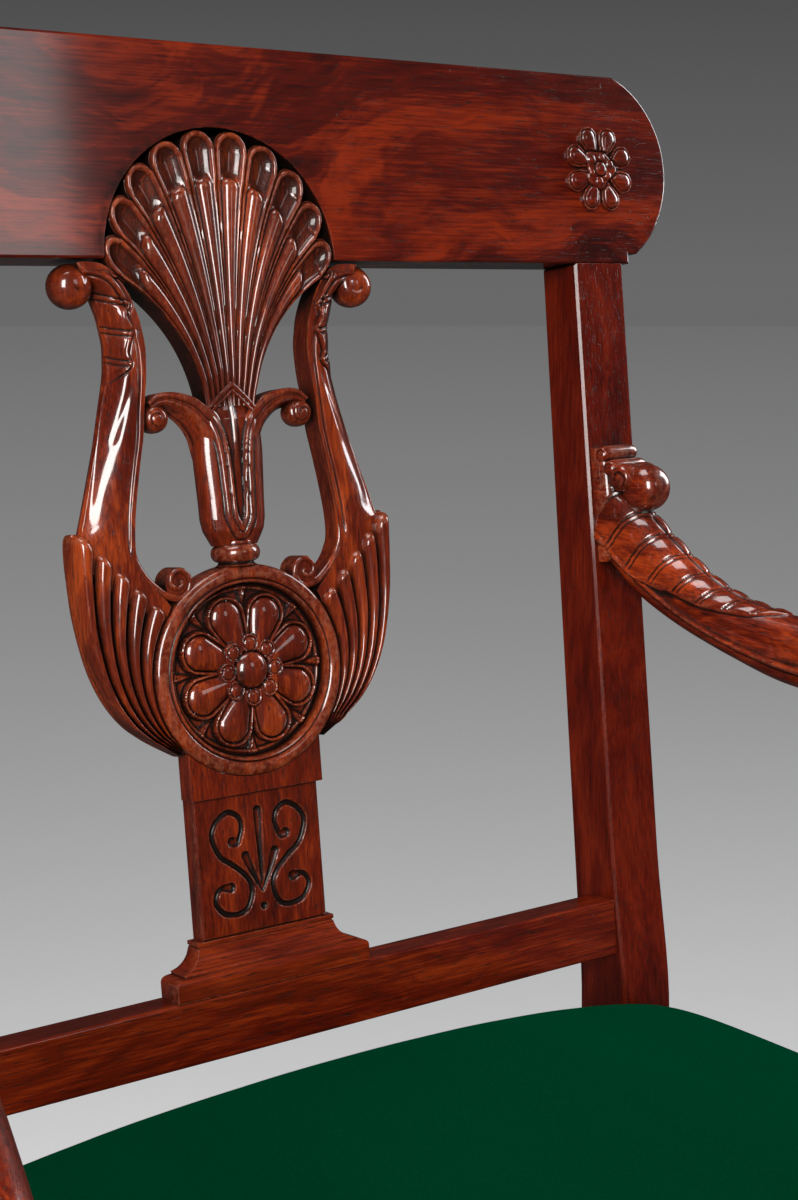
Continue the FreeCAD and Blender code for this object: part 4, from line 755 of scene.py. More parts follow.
def measure_hollows(mesh: bpy.types.Mesh) -> None:
    """Store how far each vertex lies in a hollow, above 0, or stands on an arris, below 0."""
    count = len(mesh.vertices)
    places = places_of(mesh) / MM
    normals = np.empty(count * 3)
    mesh.vertex_normals.foreach_get("vector", normals)
    normals = normals.reshape(-1, 3)
    a, b = ends_of(mesh)
    weight = np.exp(-((np.linalg.norm(places[a] - places[b], axis=1) / 1.6) ** 2)) + 1e-4
    total = np.bincount(a, weight, count) + np.bincount(b, weight, count) + 1e-9
    smooth = places.copy()
    hollow = np.zeros(count)
    for step in range(1, 25):
        rows = [
            np.bincount(a, weight * smooth[b, k], count) + np.bincount(b, weight * smooth[a, k], count)
            for k in range(3)
        ]
        smooth = 0.4 * smooth + 0.6 * np.stack(rows, -1) / total[:, None]
        if step in (3, 24):
            depth = np.einsum("ij,ij->i", smooth - places, normals)
            hollow += np.tanh(depth / (0.045 if step == 3 else 0.9)) * (0.5 if step == 3 else 0.55)
    layer = mesh.attributes.new("hollow", "FLOAT", "POINT")
    layer.data.foreach_set("value", hollow.astype(np.float32))


def even_out(mesh: bpy.types.Mesh, values: Array, rounds: int) -> Array:
    """Give each vertex's values, averaged with its neighbours' a number of times."""
    count = len(mesh.vertices)
    a, b = ends_of(mesh)
    total = np.bincount(a, minlength=count) + np.bincount(b, minlength=count) + 1e-9
    for _ in range(rounds):
        near = [np.bincount(a, column[b], count) + np.bincount(b, column[a], count) for column in values.T]
        values = 0.5 * values + 0.5 * np.stack(near, -1) / total[:, None]
    return values


@dataclass(frozen=True)
class Scroll:
    """A rolled end: a drum along Y with domed ends and a spiral cut in them."""

    centre: tuple[float, float, float]
    radius: float
    half: float
    dome: float = 0.8
    pitch: float = 4.5
    depth: float = 0.6
    start: float = 0.0
    hand: float = 1.0
    axis: int = 1

    def carve(self, piece: Carving, columns: int = 72, rows: int = 72) -> None:
        """Add the drum to a piece."""
        piece.tube(columns, rows, self._rule)

    def _rule(self, u: Array, v: Array) -> Array:
        """Place the drum's skin."""
        angle = 2 * math.pi * u
        lean = math.pi * (v - 0.5)
        out = self.radius * np.abs(np.cos(lean)) ** self.dome
        along = self.half * np.sign(np.sin(lean)) * np.abs(np.sin(lean)) ** self.dome
        turn = self.hand * (angle - self.start) / (2 * math.pi)
        phase = np.mod(out / self.pitch + turn, 1.0)
        groove = np.exp(-(((phase - 0.5) / 0.16) ** 2)) * ease(0.9, 1.6, out) * ease(
            self.radius, self.radius * 0.86, out)
        along = along - np.sign(along) * self.depth * groove
        first, second = out * np.cos(angle), out * np.sin(angle)
        x, y, z = self.centre
        if self.axis == 1:
            return stack(x + first, y + along, z + second)
        return stack(x + along, y + first, z + second)


@dataclass(frozen=True)
class Band:
    """A half-round strip along a line of the front plane, with walls to the back."""

    line: Line
    width: Callable[[Array], Array]
    depth: Callable[[Array], Array]
    crown: float = 1.1
    back: float = 15.4

    def carve(self, piece: Carving, columns: int = 10, rows: int = 180) -> None:
        """Add the strip to a piece."""
        piece.board(columns, rows, self._rule, self.back)

    def _rule(self, u: Array, v: Array) -> Array:
        """Place the strip's face."""
        x, z = self.line.at(v)
        nx, nz = self.line.normal(v)
        off = -0.5 * np.cos(math.pi * u) * self.width(v)
        rise = self.crown * (dome(np.cos(math.pi * u)) - 1)
        return stack(x + nx * off, self.depth(v) - rise, z + nz * off)


@dataclass
class Fan:
    """The ten-lobed shell at the head of the splat, let into the top rail."""

    finish: bpy.types.Material
    lobes: int = 10
    radius: float = 57.0
    lobe: float = 8.0
    foot: float = 64.0

    def build(self) -> None:
        """Carve the shell."""
        piece = Carving()
        piece.board(240, 150, self._rule, 15)
        piece.finish("shell_fan", BACK, self.finish, replaces=["lyre_fan"])

    def _path(self, u: Array, w: Array) -> tuple[Array, Array]:
        """Follow a reed from the rim, w 0, to the neck, w 1."""
        theta = np.radians(-5 + 190 * u)
        side = 1 - 2 * u
        x0, z0 = self.radius * np.cos(theta), self.radius * np.sin(theta)
        lean = np.radians(28) * np.abs(side) ** 2.1 * np.sign(side)
        inward = theta + math.pi + lean
        x1, z1 = x0 + 22 * np.cos(inward), z0 + 22 * np.sin(inward)
        x3 = 12.2 * side
        x2, z2 = 1.31 * x3, -33 + 8 * (np.sin(theta) + 0.087) / 1.087
        a, b, c, d = (1 - w) ** 3, 3 * (1 - w) ** 2 * w, 3 * (1 - w) * w * w, w**3
        return a * x0 + b * x1 + c * x2 + d * x3, a * z0 + b * z1 + c * z2 - d * self.foot

    def _rule(self, u: Array, v: Array) -> Array:
        """Place the face of the shell."""
        t = np.mod(u * self.lobes, 1.0) * 2 - 1
        t = np.where(u > 0.99999, 1.0, t)
        w0 = self.lobe * (1 - dome(t)) / 66
        w = w0 + (1 - w0) * v
        x, z = self._path(u, w)
        low, high = np.maximum(u - 0.004, 0), np.minimum(u + 0.004, 1)
        (xa, za), (xb, zb) = self._path(low, w), self._path(high, w)
        half = np.hypot(xb - xa, zb - za) / (high - low) / (2 * self.lobes)
        run = np.zeros(u.shape)
        px, pz = self._path(u, np.zeros(u.shape))
        for step in range(1, 25):
            qx, qz = self._path(u, w * step / 24)
            run += np.hypot(qx - px, qz - pz)
            px, pz = qx, qz
        across = np.abs(t) * half
        side = half - across
        top = self.lobe - np.hypot(across, self.lobe - run)
        edge = np.where(run < self.lobe, np.minimum(top, side), side)
        lip = 0.27 * half
        middle = half - lip
        rim = (0.35 * lip + 0.4) * dome((edge - lip * 0.55) / (lip * 0.55))
        share = np.clip(1 - (edge - lip) / middle, 0, 1)
        scoop = -2.7 * (1 - share**2) * (1 - ease(17, 25, run)) * (edge > lip)
        reed = 0.84 * middle
        start = 20.5
        nose = dome(np.clip((start + reed - run) / reed, 0, 1.001)) * (run > start)
        swell = (0.62 * reed + 0.6) * dome(across / reed * (2 - nose)) * np.sqrt(np.clip(nose, 0, 1))
        rise = rim + scoop + swell - 0.6 * ease(20, 26, run)
        rise = rise - 1.1 * (1 - ease(0, 0.55, edge))
        return stack(x, 1.5 - rise + 1.4 * ease(0.86, 1, v), z)


@dataclass
class Lotus:
    """The lotus bud below the shell, with its chevron band and two curled petals."""

    finish: bpy.types.Material
    outline: Points = (
        (-57, 11.2), (-60, 11.8), (-66, 13.2), (-72, 15.5), (-78, 16.6), (-84, 16.8), (-92, 16.5),
        (-105, 15.8), (-114, 15.5), (-119, 14.4), (-122.5, 12.6), (-125.8, 10.8),
    )
    bead: Points = (
        (14.6, -57), (13.8, -61.5), (9.6, -68), (6.4, -75), (4.7, -83), (3.8, -93), (3.2, -105), (2.6, -113),
        (0, -118.5),
    )
    petal_top: Points = (
        (4, -74), (8, -66.5), (13, -63), (17.5, -59.7), (23.5, -57.7), (30, -56.8), (36, -57.6), (40.5, -61),
    )
    petal_foot: Points = (
        (14.5, -92), (16.4, -84), (17.9, -77.5), (20.8, -72.4), (24.7, -68.4), (28.5, -66),
        (33, -65.2), (37, -66),
    )

    def build(self) -> None:
        """Carve the bud, the band and the petals as one piece."""
        piece = Carving()
        self._line = Line(self.bead)
        self._top, self._foot = Line(self.petal_top), Line(self.petal_foot)
        piece.tube(220, 240, self._bud)
        piece.board(72, 20, self._chevron, 15)
        right = Carving()
        right.board(24, 80, self._petal, 14.6)
        Scroll((36.6, 9.6, -68.0), 6.4, 7.0, 0.75, 3.6, 0.5, 1.9).carve(right, 56, 56)
        left = right.mirror()
        for half in (right, left):
            mesh = bpy.data.meshes.new("petal")
            bmesh.ops.recalc_face_normals(half.bm, faces=half.bm.faces)
            half.bm.to_mesh(mesh)
            half.bm.free()
            piece.bm.from_mesh(mesh)
            bpy.data.meshes.remove(mesh)
        piece.finish("lotus_bud", BACK, self.finish, replaces=["lyre_lotus"])

    def _bud(self, u: Array, v: Array) -> Array:
        """Place the bud's skin, its seam at the back."""
        s = -57 - 68.8 * v
        levels = np.array(self.outline)
        wide = np.interp(-s, -levels[:, 0], levels[:, 1])
        deep = np.minimum(9.0, 0.62 * wide)
        angle = 2 * math.pi * u + math.pi
        side, front = np.sin(angle), np.cos(angle)
        x = wide * np.sign(side) * np.abs(side) ** 0.9
        d = deep * np.sign(front) * np.abs(front) ** 0.8
        gap, _ = self._line.reach(np.abs(x), s)
        edge = np.interp(-s, -self._line.places[:, 1], self._line.places[:, 0])
        inside = ease(0, 1.2, edge - np.abs(x))
        signed = np.where(np.abs(x) < edge, -gap, gap)
        rise = 1.0 * dome(signed / 1.35) + 0.75 * dome((signed - 3.0) / 1.3)
        rise = rise - 0.9 * inside * ease(0, 3, edge - 1.2)
        ridge = 0.9 * np.exp(-((x / 1.0) ** 2)) * inside * ease(3.2, 5.5, edge)
        rise = rise + ridge - 0.35 * cut(signed - 5.2, 1.0)
        facing = ease(0.1, 0.45, front)
        return stack(x, 10.5 - d - rise * facing, s)

    @staticmethod
    def _chevron(u: Array, v: Array) -> Array:
        """Place the two-stepped band in the shape of a roof."""
        x = 14.2 * (2 * u - 1)
        peak = -53.2 - 10.8 * (np.sqrt((x / 12) ** 2 + 0.004) - 0.063)
        s = peak - 5.4 * v
        step = 1.1 * dome((v - 0.3) / 0.3) + 0.8 * dome((v - 0.8) / 0.2)
        return stack(x, 2.4 - step + 0.012 * x * x, s)

    def _petal(self, u: Array, v: Array) -> Array:
        """Place the right petal's face."""
        (xa, za), (xb, zb) = self._top.at(v), self._foot.at(v)
        x, z = xa + (xb - xa) * u, za + (zb - za) * u
        lip = 1.3 * dome((u - 0.14) / 0.15) + 0.5 * cut(u - 0.31, 0.06)
        belly = 0.9 * dome((u - 0.6) / 0.32)
        turn = 8.0 * ease(0.42, 1.08, u) ** 1.2
        fade = ease(0.0, 0.12, v)
        return stack(x, 3.6 + 1.6 * v + (1 - fade) * 1.5 - (lip + belly) * fade + turn, z)


@dataclass
class Collar:
    """The turned bead between the lotus bud and the ring."""

    finish: bpy.types.Material
    level: float = -129.4
    depth: float = 10.2
    profile: Points = (
        (0.0, 5.4), (8.0, 5.4), (8.2, 4.6), (8.0, 3.9), (8.9, 3.7), (10.1, 2.9), (10.9, 1.6), (11.2, 0.0),
        (10.9, -1.6), (10.1, -2.9), (8.9, -3.7), (8.0, -3.9), (8.3, -4.8), (9.4, -5.6), (0.0, -5.6),
    )

    def build(self) -> None:
        """Turn the bead."""
        piece = Carving()
        piece.turned(self.profile, (0, self.depth, self.level), Vector((0, 0, 1)), 96)
        piece.finish("turned_collar", BACK, self.finish, replaces=["lyre_collar"], crease=50)


@dataclass
class Limb:
    """One scrolled limb of the lyre, with its leaf, ball, volute and gadrooned shell."""

    finish: bpy.types.Material
    inner: Points = (
        (70, -1.6), (66, -1.2), (62, -1.3), (58, -2.2), (54, -4.8), (49.5, -10), (46.5, -15), (44.5, -20),
        (42.8, -25), (41.8, -30), (40.8, -38), (41.5, -50), (43.2, -62), (44.5, -75), (46.5, -85),
        (48.8, -97), (51, -110), (52, -120), (52, -127), (50.6, -132.5), (47.5, -138), (43.5, -143),
        (40, -146.5), (37.5, -150),
    )
    outer: Points = (
        (66.5, -9), (63.5, -9.5), (61.5, -12), (60.5, -16), (59.5, -20), (58.3, -24), (57.5, -28),
        (56.8, -33), (56.5, -38), (57, -45), (58, -52), (60, -60), (62.5, -70), (65, -80), (68, -90),
        (71, -100), (74, -110), (76.5, -118), (78, -124), (75, -131), (69, -138), (60, -146), (50, -153),
        (41, -157),
    )
    bead: Points = (
        (69, -4.6), (62.8, -4.1), (59.4, -4.9), (55.9, -7.4), (52.2, -11.9), (49.4, -16.3), (47.3, -21),
        (45.6, -25.8), (44.6, -30.5), (43.4, -38), (43.7, -50), (45.3, -62), (46.4, -75), (48.3, -85),
        (50.5, -97), (52.5, -110), (53.3, -120), (52.8, -127), (51, -131.6), (48.5, -136), (44.5, -140.5),
        (39.5, -144.5), (34, -146.5), (29.5, -145.8), (27, -142), (27.3, -138), (30, -135), (33.5, -134.7),
        (36.3, -137.3), (36, -141), (33.2, -142.4), (31, -140.8), (31.8, -139),
    )
    leaf_edge: Points = (
        (50, -8), (56, -5), (51, -11.5), (48, -17), (46.5, -19.5), (48.6, -24), (45.4, -30), (46.9, -33.5),
        (48.8, -40), (47.6, -44.5), (50.5, -48), (57.5, -53),
    )
    creases: tuple[Points, ...] = (
        ((46.5, -44), (50, -57), (55, -70), (60, -82)),
        ((57, -52), (60.5, -66), (65, -84), (69, -100), (72, -112)),
    )
    shell_outer: Points = (
        (78.5, -112.5), (80.3, -118), (80.8, -126), (80.5, -135), (79.5, -150), (77, -165), (73.5, -178),
        (68, -190), (60.7, -200), (52.5, -207), (45, -212), (36.5, -217),
    )
    ring_reach: float = 47.9
    gadroons: int = 5

    def build(self) -> None:
        """Carve the right limb and mirror it."""
        self._inner, self._outer = Line(self.inner, samples=240), Line(self.outer, samples=240)
        self._leaf = Line(self.leaf_edge)
        self._cuts = [Line(points, samples=60) for points in self.creases]
        self._shell = Line(self.shell_outer)
        right = Carving()
        right.tube(150, 320, self._body)
        Scroll((70.8, 9.2, -10.8), 9.6, 9.0, 0.85, 11.0, 0.55, 2.6).carve(right, 80, 80)
        Band(
            Line(self.bead, samples=400),
            lambda v: 5.4 - 1.7 * ease(0.08, 0.38, v) - 1.6 * ease(0.76, 1.0, v),
            lambda v: 2.2 + 1.7 * ease(0.12, 0.55, v) - 0.8 * ease(0.7, 0.95, v), 1.6,
        ).carve(right, 14, 400)
        right.board(40, 12, self._eye, 15.4)
        right.board(150, 150, self._gadroon, 15.4)
        left = right.mirror()
        right.finish("lyre_limb_right", BACK, self.finish, replaces=["lyre_arm_right"])
        left.finish("lyre_limb_left", BACK, self.finish, replaces=["lyre_arm_left"])

    def _body(self, u: Array, v: Array) -> Array:
        """Place the face of the limb between its two outlines."""
        turns = (0, 0.66, 0.74, 0.78, 0.9, 0.94, 1)
        share = np.interp(u, turns, (0, 1, 0.95, 0.8, 0.1, 0, 0))
        (xa, za), (xb, zb) = self._inner.at(v), self._outer.at(v)
        x, z = xa + (xb - xa) * share, za + (zb - za) * share
        wide = np.hypot(xb - xa, zb - za)
        fall = 8.6 * ease(-3, -15, z) * (1 - 0.45 * ease(-55, -112, z)) * (1 - 0.6 * ease(-112, -128, z))
        d = 1.9 + 1.5 * ease(-45, -105, z) + fall * ease(0.3, 1.04, share) ** 1.25
        d = d + 1.6 * (1 - ease(0, 1.6, (1 - share) * wide))
        strap = share * wide - 5.9 + 1.9 * ease(-15, -75, z)
        d = d + 1.3 * np.exp(-((strap / 0.75) ** 2)) * ease(-128, -118, z)
        for line in self._cuts:
            gap, along = line.reach(x, z)
            d = d + 0.4 * np.exp(-((gap / 1.5) ** 2)) * ease(0, 0.2, along) * ease(1, 0.8, along)
            d = d - 0.3 * np.exp(-(((gap - 3.6) / 2.6) ** 2)) * ease(0, 0.2, along) * ease(1, 0.8, along)
        gap, _ = self._leaf.reach(x, z)
        edge = np.interp(-z, -self._leaf.places[:, 1], self._leaf.places[:, 0])
        on_leaf = (x > edge) & (z > -52) & (z < -5)
        fade = ease(-53, -46, z) * ease(-3, -9, z)
        d = d - np.where(on_leaf, 1.3 * ease(0, 0.7, gap) + 0.4 * dome((gap - 1.1) / 1.0), 0) * fade
        d = d + np.where(on_leaf, 0, 0.7 * np.exp(-((gap / 0.8) ** 2))) * fade
        for level, bow in ((-17.5, 5.5), (-30.5, 6.5), (-43.5, 7.5)):
            arc = level + bow * ((x - 46) / 12) ** 2 * 0.5
            for shift in (0.0, 2.4):
                d = d + 0.9 * np.exp(-(((z - arc + shift) / 0.6) ** 2)) * ease(edge, edge + 1.5, x)
            d = d - 0.7 * np.exp(-(((z - arc - 5.0) / 3.6) ** 2)) * ease(edge, edge + 3, x)
        depth = np.interp(u, (0, 0.66, 0.76, 0.9, 0.94, 1), (0, 0, 1, 1, 0.9, 0))
        return stack(x, d + (15.4 - d) * depth, z)

    @staticmethod
    def _eye(u: Array, v: Array) -> Array:
        """Place the ground of the inner volute."""
        angle = 2 * math.pi * u
        out = 6.6 * v + 0.05
        return stack(32.0 + out * np.cos(angle), 4.6 + 0 * u, -140.2 + out * np.sin(angle))

    def _gadroon(self, u: Array, v: Array) -> Array:
        """Place the face of the five gadroons round the ring's shoulder."""
        lane = np.minimum(u * self.gadroons, self.gadroons - 1e-6)
        t = (lane - np.floor(lane)) * 2 - 1
        start = 0.042 * (1 - dome(t))
        w = start + (1 - start) * v
        xo, zo = self._shell.at(w)
        low, high = math.radians(36.5), math.radians(-41.5)
        turn = low + (high - low) * w
        xi, zi = self.ring_reach * np.cos(turn), -182 + self.ring_reach * np.sin(turn)
        share = u**0.92
        bow = 0.6 * np.sin(math.pi * u) * (1 - ease(0, 0.2, w))
        x, z = xo + (xi - xo) * share + bow * 0.5, zo + (zi - zo) * share + bow
        half = np.hypot(xi - xo, zi - zo) / (2 * self.gadroons) + 0.3
        run = w * self._shell.length
        across = np.abs(t) * half
        side = half - across
        edge = np.where(run < half, half - np.hypot(across, half - run), side)
        edge = np.minimum(edge, side)
        swell = (0.8 * half + 2.4) * dome(1 - np.clip((edge - 0.4) / (half * 0.8), 0, 1)) ** 0.85
        band = 1.1 * dome((w - 0.9) / 0.03)
        round_off = 3.0 * (1 - ease(0, 0.1, u)) ** 2 * ease(0.04, 0.14, w)
        return stack(x, 7.8 - swell - band + 1.6 * (1 - ease(0, 0.6, edge)) + round_off, z)


@dataclass
class Patera:
    """The turned ring and its eight-petalled flower."""

    ring: bpy.types.Material
    flower: bpy.types.Material
    level: float = -182.0
    petals: int = 8
    profile: Points = (
        (47.6, 15.4), (47.6, 5.2), (47.2, 3.7), (46.3, 2.8), (45.0, 2.4), (43.2, 2.3), (41.9, 2.6),
        (41.2, 3.4), (40.9, 3.2), (40.4, 2.5), (39.7, 2.7), (39.3, 3.6), (39.1, 5.5), (39.0, 9.6),
        (37.0, 10.4), (20.0, 10.6), (0.0, 10.6),
    )

    def build(self) -> None:
        """Turn the ring and carve the flower."""
        ring = Carving()
        closed = [*self.profile, (0.0, 15.4), (47.6, 15.4)]
        smooth: list[tuple[float, float]] = []
        for (ra, da), (rb, db) in zip(closed, closed[1:]):
            parts = max(1, round(math.hypot(rb - ra, db - da) / 3))
            smooth += [(ra + (rb - ra) * k / parts, da + (db - da) * k / parts) for k in range(parts)]
        smooth.append(closed[-1])
        ring.turned(smooth, (0, 0, self.level), Vector((0, 1, 0)), 192)
        ring.finish("patera_dish", BACK, self.ring, replaces=["patera_ring"], crease=50)
        flower = Carving()
        flower.tube(448, 84, self._flower)
        flower.finish("patera_rose", BACK, self.flower, replaces=["patera_flower"])

    def _flower(self, u: Array, v: Array) -> Array:
        """Place the flower's skin: its face out to the rim, and its back."""
        angle = 2 * math.pi * u
        face = np.clip(v / 0.9, 0, 1)
        out = 38.2 * face
        step = 2 * math.pi / self.petals
        fold = np.mod(angle - math.pi / 8 + step / 2, step) - step / 2
        x, y = out * np.cos(fold), out * np.sin(fold)
        t = np.clip((x - 10) / 16, 0, 1)
        radius = 3.2 + 6.5 * np.sqrt(t)
        edge = radius - np.hypot(x - (10 + 16 * t), y)
        ground = 8.2 + 0.5 * ease(30, 37, out)
        gap = np.mod(angle + step / 2, step) - step / 2
        gx, gy = out * np.cos(gap), out * np.sin(gap)
        sepal = np.clip((gx - 26) / 10, 0, 1) * 2.5 - np.abs(gy)
        depth = ground - 2.0 * ease(0, 1.6, sepal) + 0.5 * np.exp(-((gy / 0.5) ** 2)) * ease(30, 34, gx)
        depth = depth - 1.3 * dome((out - 36.9) / 0.9)
        rim = dome((edge - 0.75) / 0.8)
        inner = edge - 1.9
        cushion = dome(1 - np.clip(inner / (radius - 1.9), 0, 1)) ** 1.3
        petal = 5.8 - 1.5 * rim - 3.1 * cushion * ease(0, 0.3, inner) + 0.8 * cut(edge - 1.7, 0.4)
        depth = np.where(edge > 0, petal, depth)
        cx, cy = out * np.cos(gap) - 12.0, out * np.sin(gap)
        cup = 4.6 - np.hypot(cx, cy)
        cup_face = 3.4 - 0.8 * dome((cup - 0.7) / 0.7) - 1.2 * dome(1 - np.clip((cup - 1.5) / 3.1, 0, 1))
        cup_face = cup_face + 1.6 * (1 - ease(0, 0.5, cup))
        depth = np.where(cup > 0, np.minimum(depth, cup_face), depth)
        boss = 4.2 - 4.6 * dome(out / 8.3)
        depth = np.where(out < 8.3, boss, depth)
        depth = depth + 0.8 * cut(out - 8.6, 0.6)
        back = ease(0.9, 0.93, v)
        depth = depth * (1 - back) + 10.6 * back
        out = np.where(v > 0.93, 38.2 * (1 - (v - 0.93) / 0.07), out)
        return stack(out * np.cos(angle), depth, self.level + out * np.sin(angle))


@dataclass
class Rosette:
    """The applied rosettes at the ends of the top rail."""

    finish: bpy.types.Material
    centre: tuple[float, float] = (218.5, 47.0)
    petals: int = 8
    knobs: Points = ((6.6, 2.3), (5.6, 2.0), (6.9, 2.5), (6.0, 1.9), (6.4, 2.4), (5.8, 2.2))

    def build(self) -> None:
        """Carve both rosettes."""
        for side, name in ((1.0, "right"), (-1.0, "left")):
            piece = Carving()
            piece.tube(384, 72, lambda u, v, side=side: self._rule(u, v, side))
            piece.finish(f"rosette_{name}", BACK, self.finish, replaces=[f"rail_rosette_{name}"])

    def _rule(self, u: Array, v: Array, side: float) -> Array:
        """Place the rosette's skin: separate teardrops round an irregular floret."""
        angle = 2 * math.pi * u
        face = np.clip(v / 0.9, 0, 1)
        step = 2 * math.pi / self.petals
        fold = np.mod(angle, step) - step / 2
        widest = 16.4
        reach = widest * np.cos(fold) + np.sqrt(np.clip(5.6**2 - (widest * np.sin(fold)) ** 2, 0.09, None))
        out = reach * face
        x, y = out * np.cos(fold), out * np.sin(fold)
        t = np.clip((x - 10.5) / 5.9, 0, 1)
        radius = 3.2 + 2.4 * np.sqrt(t)
        edge = radius - np.hypot(x - (10.5 + 5.9 * t), y)
        rim = 0.6 * dome((edge - 0.6) / 0.65)
        cushion = 1.9 * dome(1 - np.clip((edge - 1.2) / (radius - 1.2), 0, 1)) * ease(1.0, 1.5, edge)
        rise = np.where(edge > 0, 1.2 + rim + cushion - 0.4 * cut(edge - 1.3, 0.3), 0.15)
        wobble = 1 + 0.12 * np.sin(3 * angle + 1.1 * side) + 0.08 * np.sin(5 * angle + 2.0)
        skirt = 9.6 * wobble - out
        rise = np.where(skirt > 0, np.maximum(rise * 0.6, 1.4 + 0.9 * ease(0, 1.5, skirt)), rise)
        beads = np.zeros(u.shape)
        for index, (reach, size) in enumerate(self.knobs):
            at = 1.05 * index + 0.35 * side
            knob = size - np.hypot(out * np.cos(angle - at) - reach, out * np.sin(angle - at))
            beads = np.maximum(beads, np.where(knob > 0, 2.0 + 1.4 * dome(1 - np.clip(knob / size, 0, 1)), 0))
        rise = np.maximum(rise, beads)
        rise = np.where(out < 3.4, np.maximum(rise, 2.3 + 1.4 * dome(out / 3.4)), rise)
        rise = rise - 0.7 * cut(out - 3.7, 0.5) - 0.9 * cut(skirt, 0.6)
        back = ease(0.9, 0.95, v)
        depth = -rise * (1 - back) + 1.4 * back
        out = np.where(v > 0.95, out * (1 - (v - 0.95) / 0.05), out)
        cx, cz = self.centre
        return stack(side * (cx + out * np.cos(angle)), depth, cz + out * np.sin(angle))


@dataclass
class Panel:
    """The pedestal's panel, with two cut scrolls and three flutes."""

    finish: bpy.types.Material
    half: float = 32.2
    top: float = -237.2
    foot: float = -300.6
    face: float = 8.0
    scroll: Points = (
        (-13.4, -258.6), (-10.6, -258.9), (-8.2, -253.2), (-9.5, -247.6), (-15, -245), (-21.3, -249),
        (-23.5, -255), (-20, -264), (-13.8, -269), (-7.5, -275), (-5, -281), (-7.5, -289), (-12.5, -291.5),
        (-20, -290), (-23.8, -284), (-21.3, -279), (-15.6, -279),
    )
    flutes: tuple[Points, ...] = (
        ((0, -283), (0, -262), (0, -246)),
        ((0, -283), (-4.4, -274), (-7.6, -265.8)),
        ((0, -283), (4.4, -274), (7.6, -265.8)),
    )

    def build(self) -> None:
        """Carve the panel."""
        self._scroll = Line([(x - 0.5, z) for x, z in self.scroll], samples=200)
        self._flutes = [Line(points, samples=40) for points in self.flutes]
        piece = Carving()
        piece.board(200, 200, self._rule, 17.6)
        piece.finish("pedestal_panel", BACK, self.finish, replaces=["plinth_panel"])

    def _rule(self, u: Array, v: Array) -> Array:
        """Place the panel's face."""
        x = self.half * (2 * u - 1)
        z = self.top + (self.foot - self.top) * v
        gap, share = self._scroll.reach(-np.abs(x), z)
        ends = np.maximum(1 - ease(0, 0.05, share), ease(0.95, 1, share))
        reach = 1.35 + 1.1 * ends
        deep = 1.5 * dome(gap / reach)
        for line in self._flutes:
            gap, share = line.reach(x, z)
            deep = np.maximum(deep, (1.0 + 0.5 * share) * dome(gap / (0.7 + 1.5 * share)))
        deep = np.maximum(deep, 1.3 * dome(np.hypot(x, z + 290) / 1.9))
        edge = np.minimum(self.half - np.abs(x), np.minimum(self.top - z, z - self.foot))
        return stack(x, self.face + deep + 0.5 * (1 - ease(0, 1.0, edge)), z)


@dataclass
class Base:
    """The moulded base under the panel: block, rounded shoulder, cavetto and fillet."""

    finish: bpy.types.Material
    foot: float = -324.0
    top: float = -300.6
    back: float = 17.6
    lean: float = 0.42
    profile: Points = (
        (50.0, 0.0), (50.0, 3.0), (50.0, 6.0), (50.0, 8.2), (49.7, 9.4), (49.0, 10.3),
        (47.8, 10.9), (46.2, 11.2),
        (44.6, 11.3), (44.5, 12.0), (45.0, 12.5), (43.6, 12.9), (41.4, 13.7), (39.4, 15.1), (37.6, 17.0),
        (36.3, 19.2), (35.5, 21.6), (35.1, 23.0), (34.6, 23.3), (34.7, 23.8), (35.4, 24.0), (35.4, 26.0),
    )

    def build(self) -> None:
        """Carve the base."""
        piece = Carving()
        piece.board(160, 84, self._rule, self.back)
        piece.finish("pedestal_base", BACK, self.finish, replaces=["plinth_base"], crease=30)

    def _rule(self, u: Array, v: Array) -> Array:
        """Place the base's moulded face."""
        shape = np.array(self.profile)
        turn = np.linspace(0, 1, len(shape))
        out = np.interp(v, turn, shape[:, 0])
        level = np.interp(v, turn, shape[:, 1]) / shape[-1, 1]
        depth = 7.1 - (out - 35.2) * self.lean
        return stack(out * (2 * u - 1), depth, self.foot + (self.top - self.foot) * level)


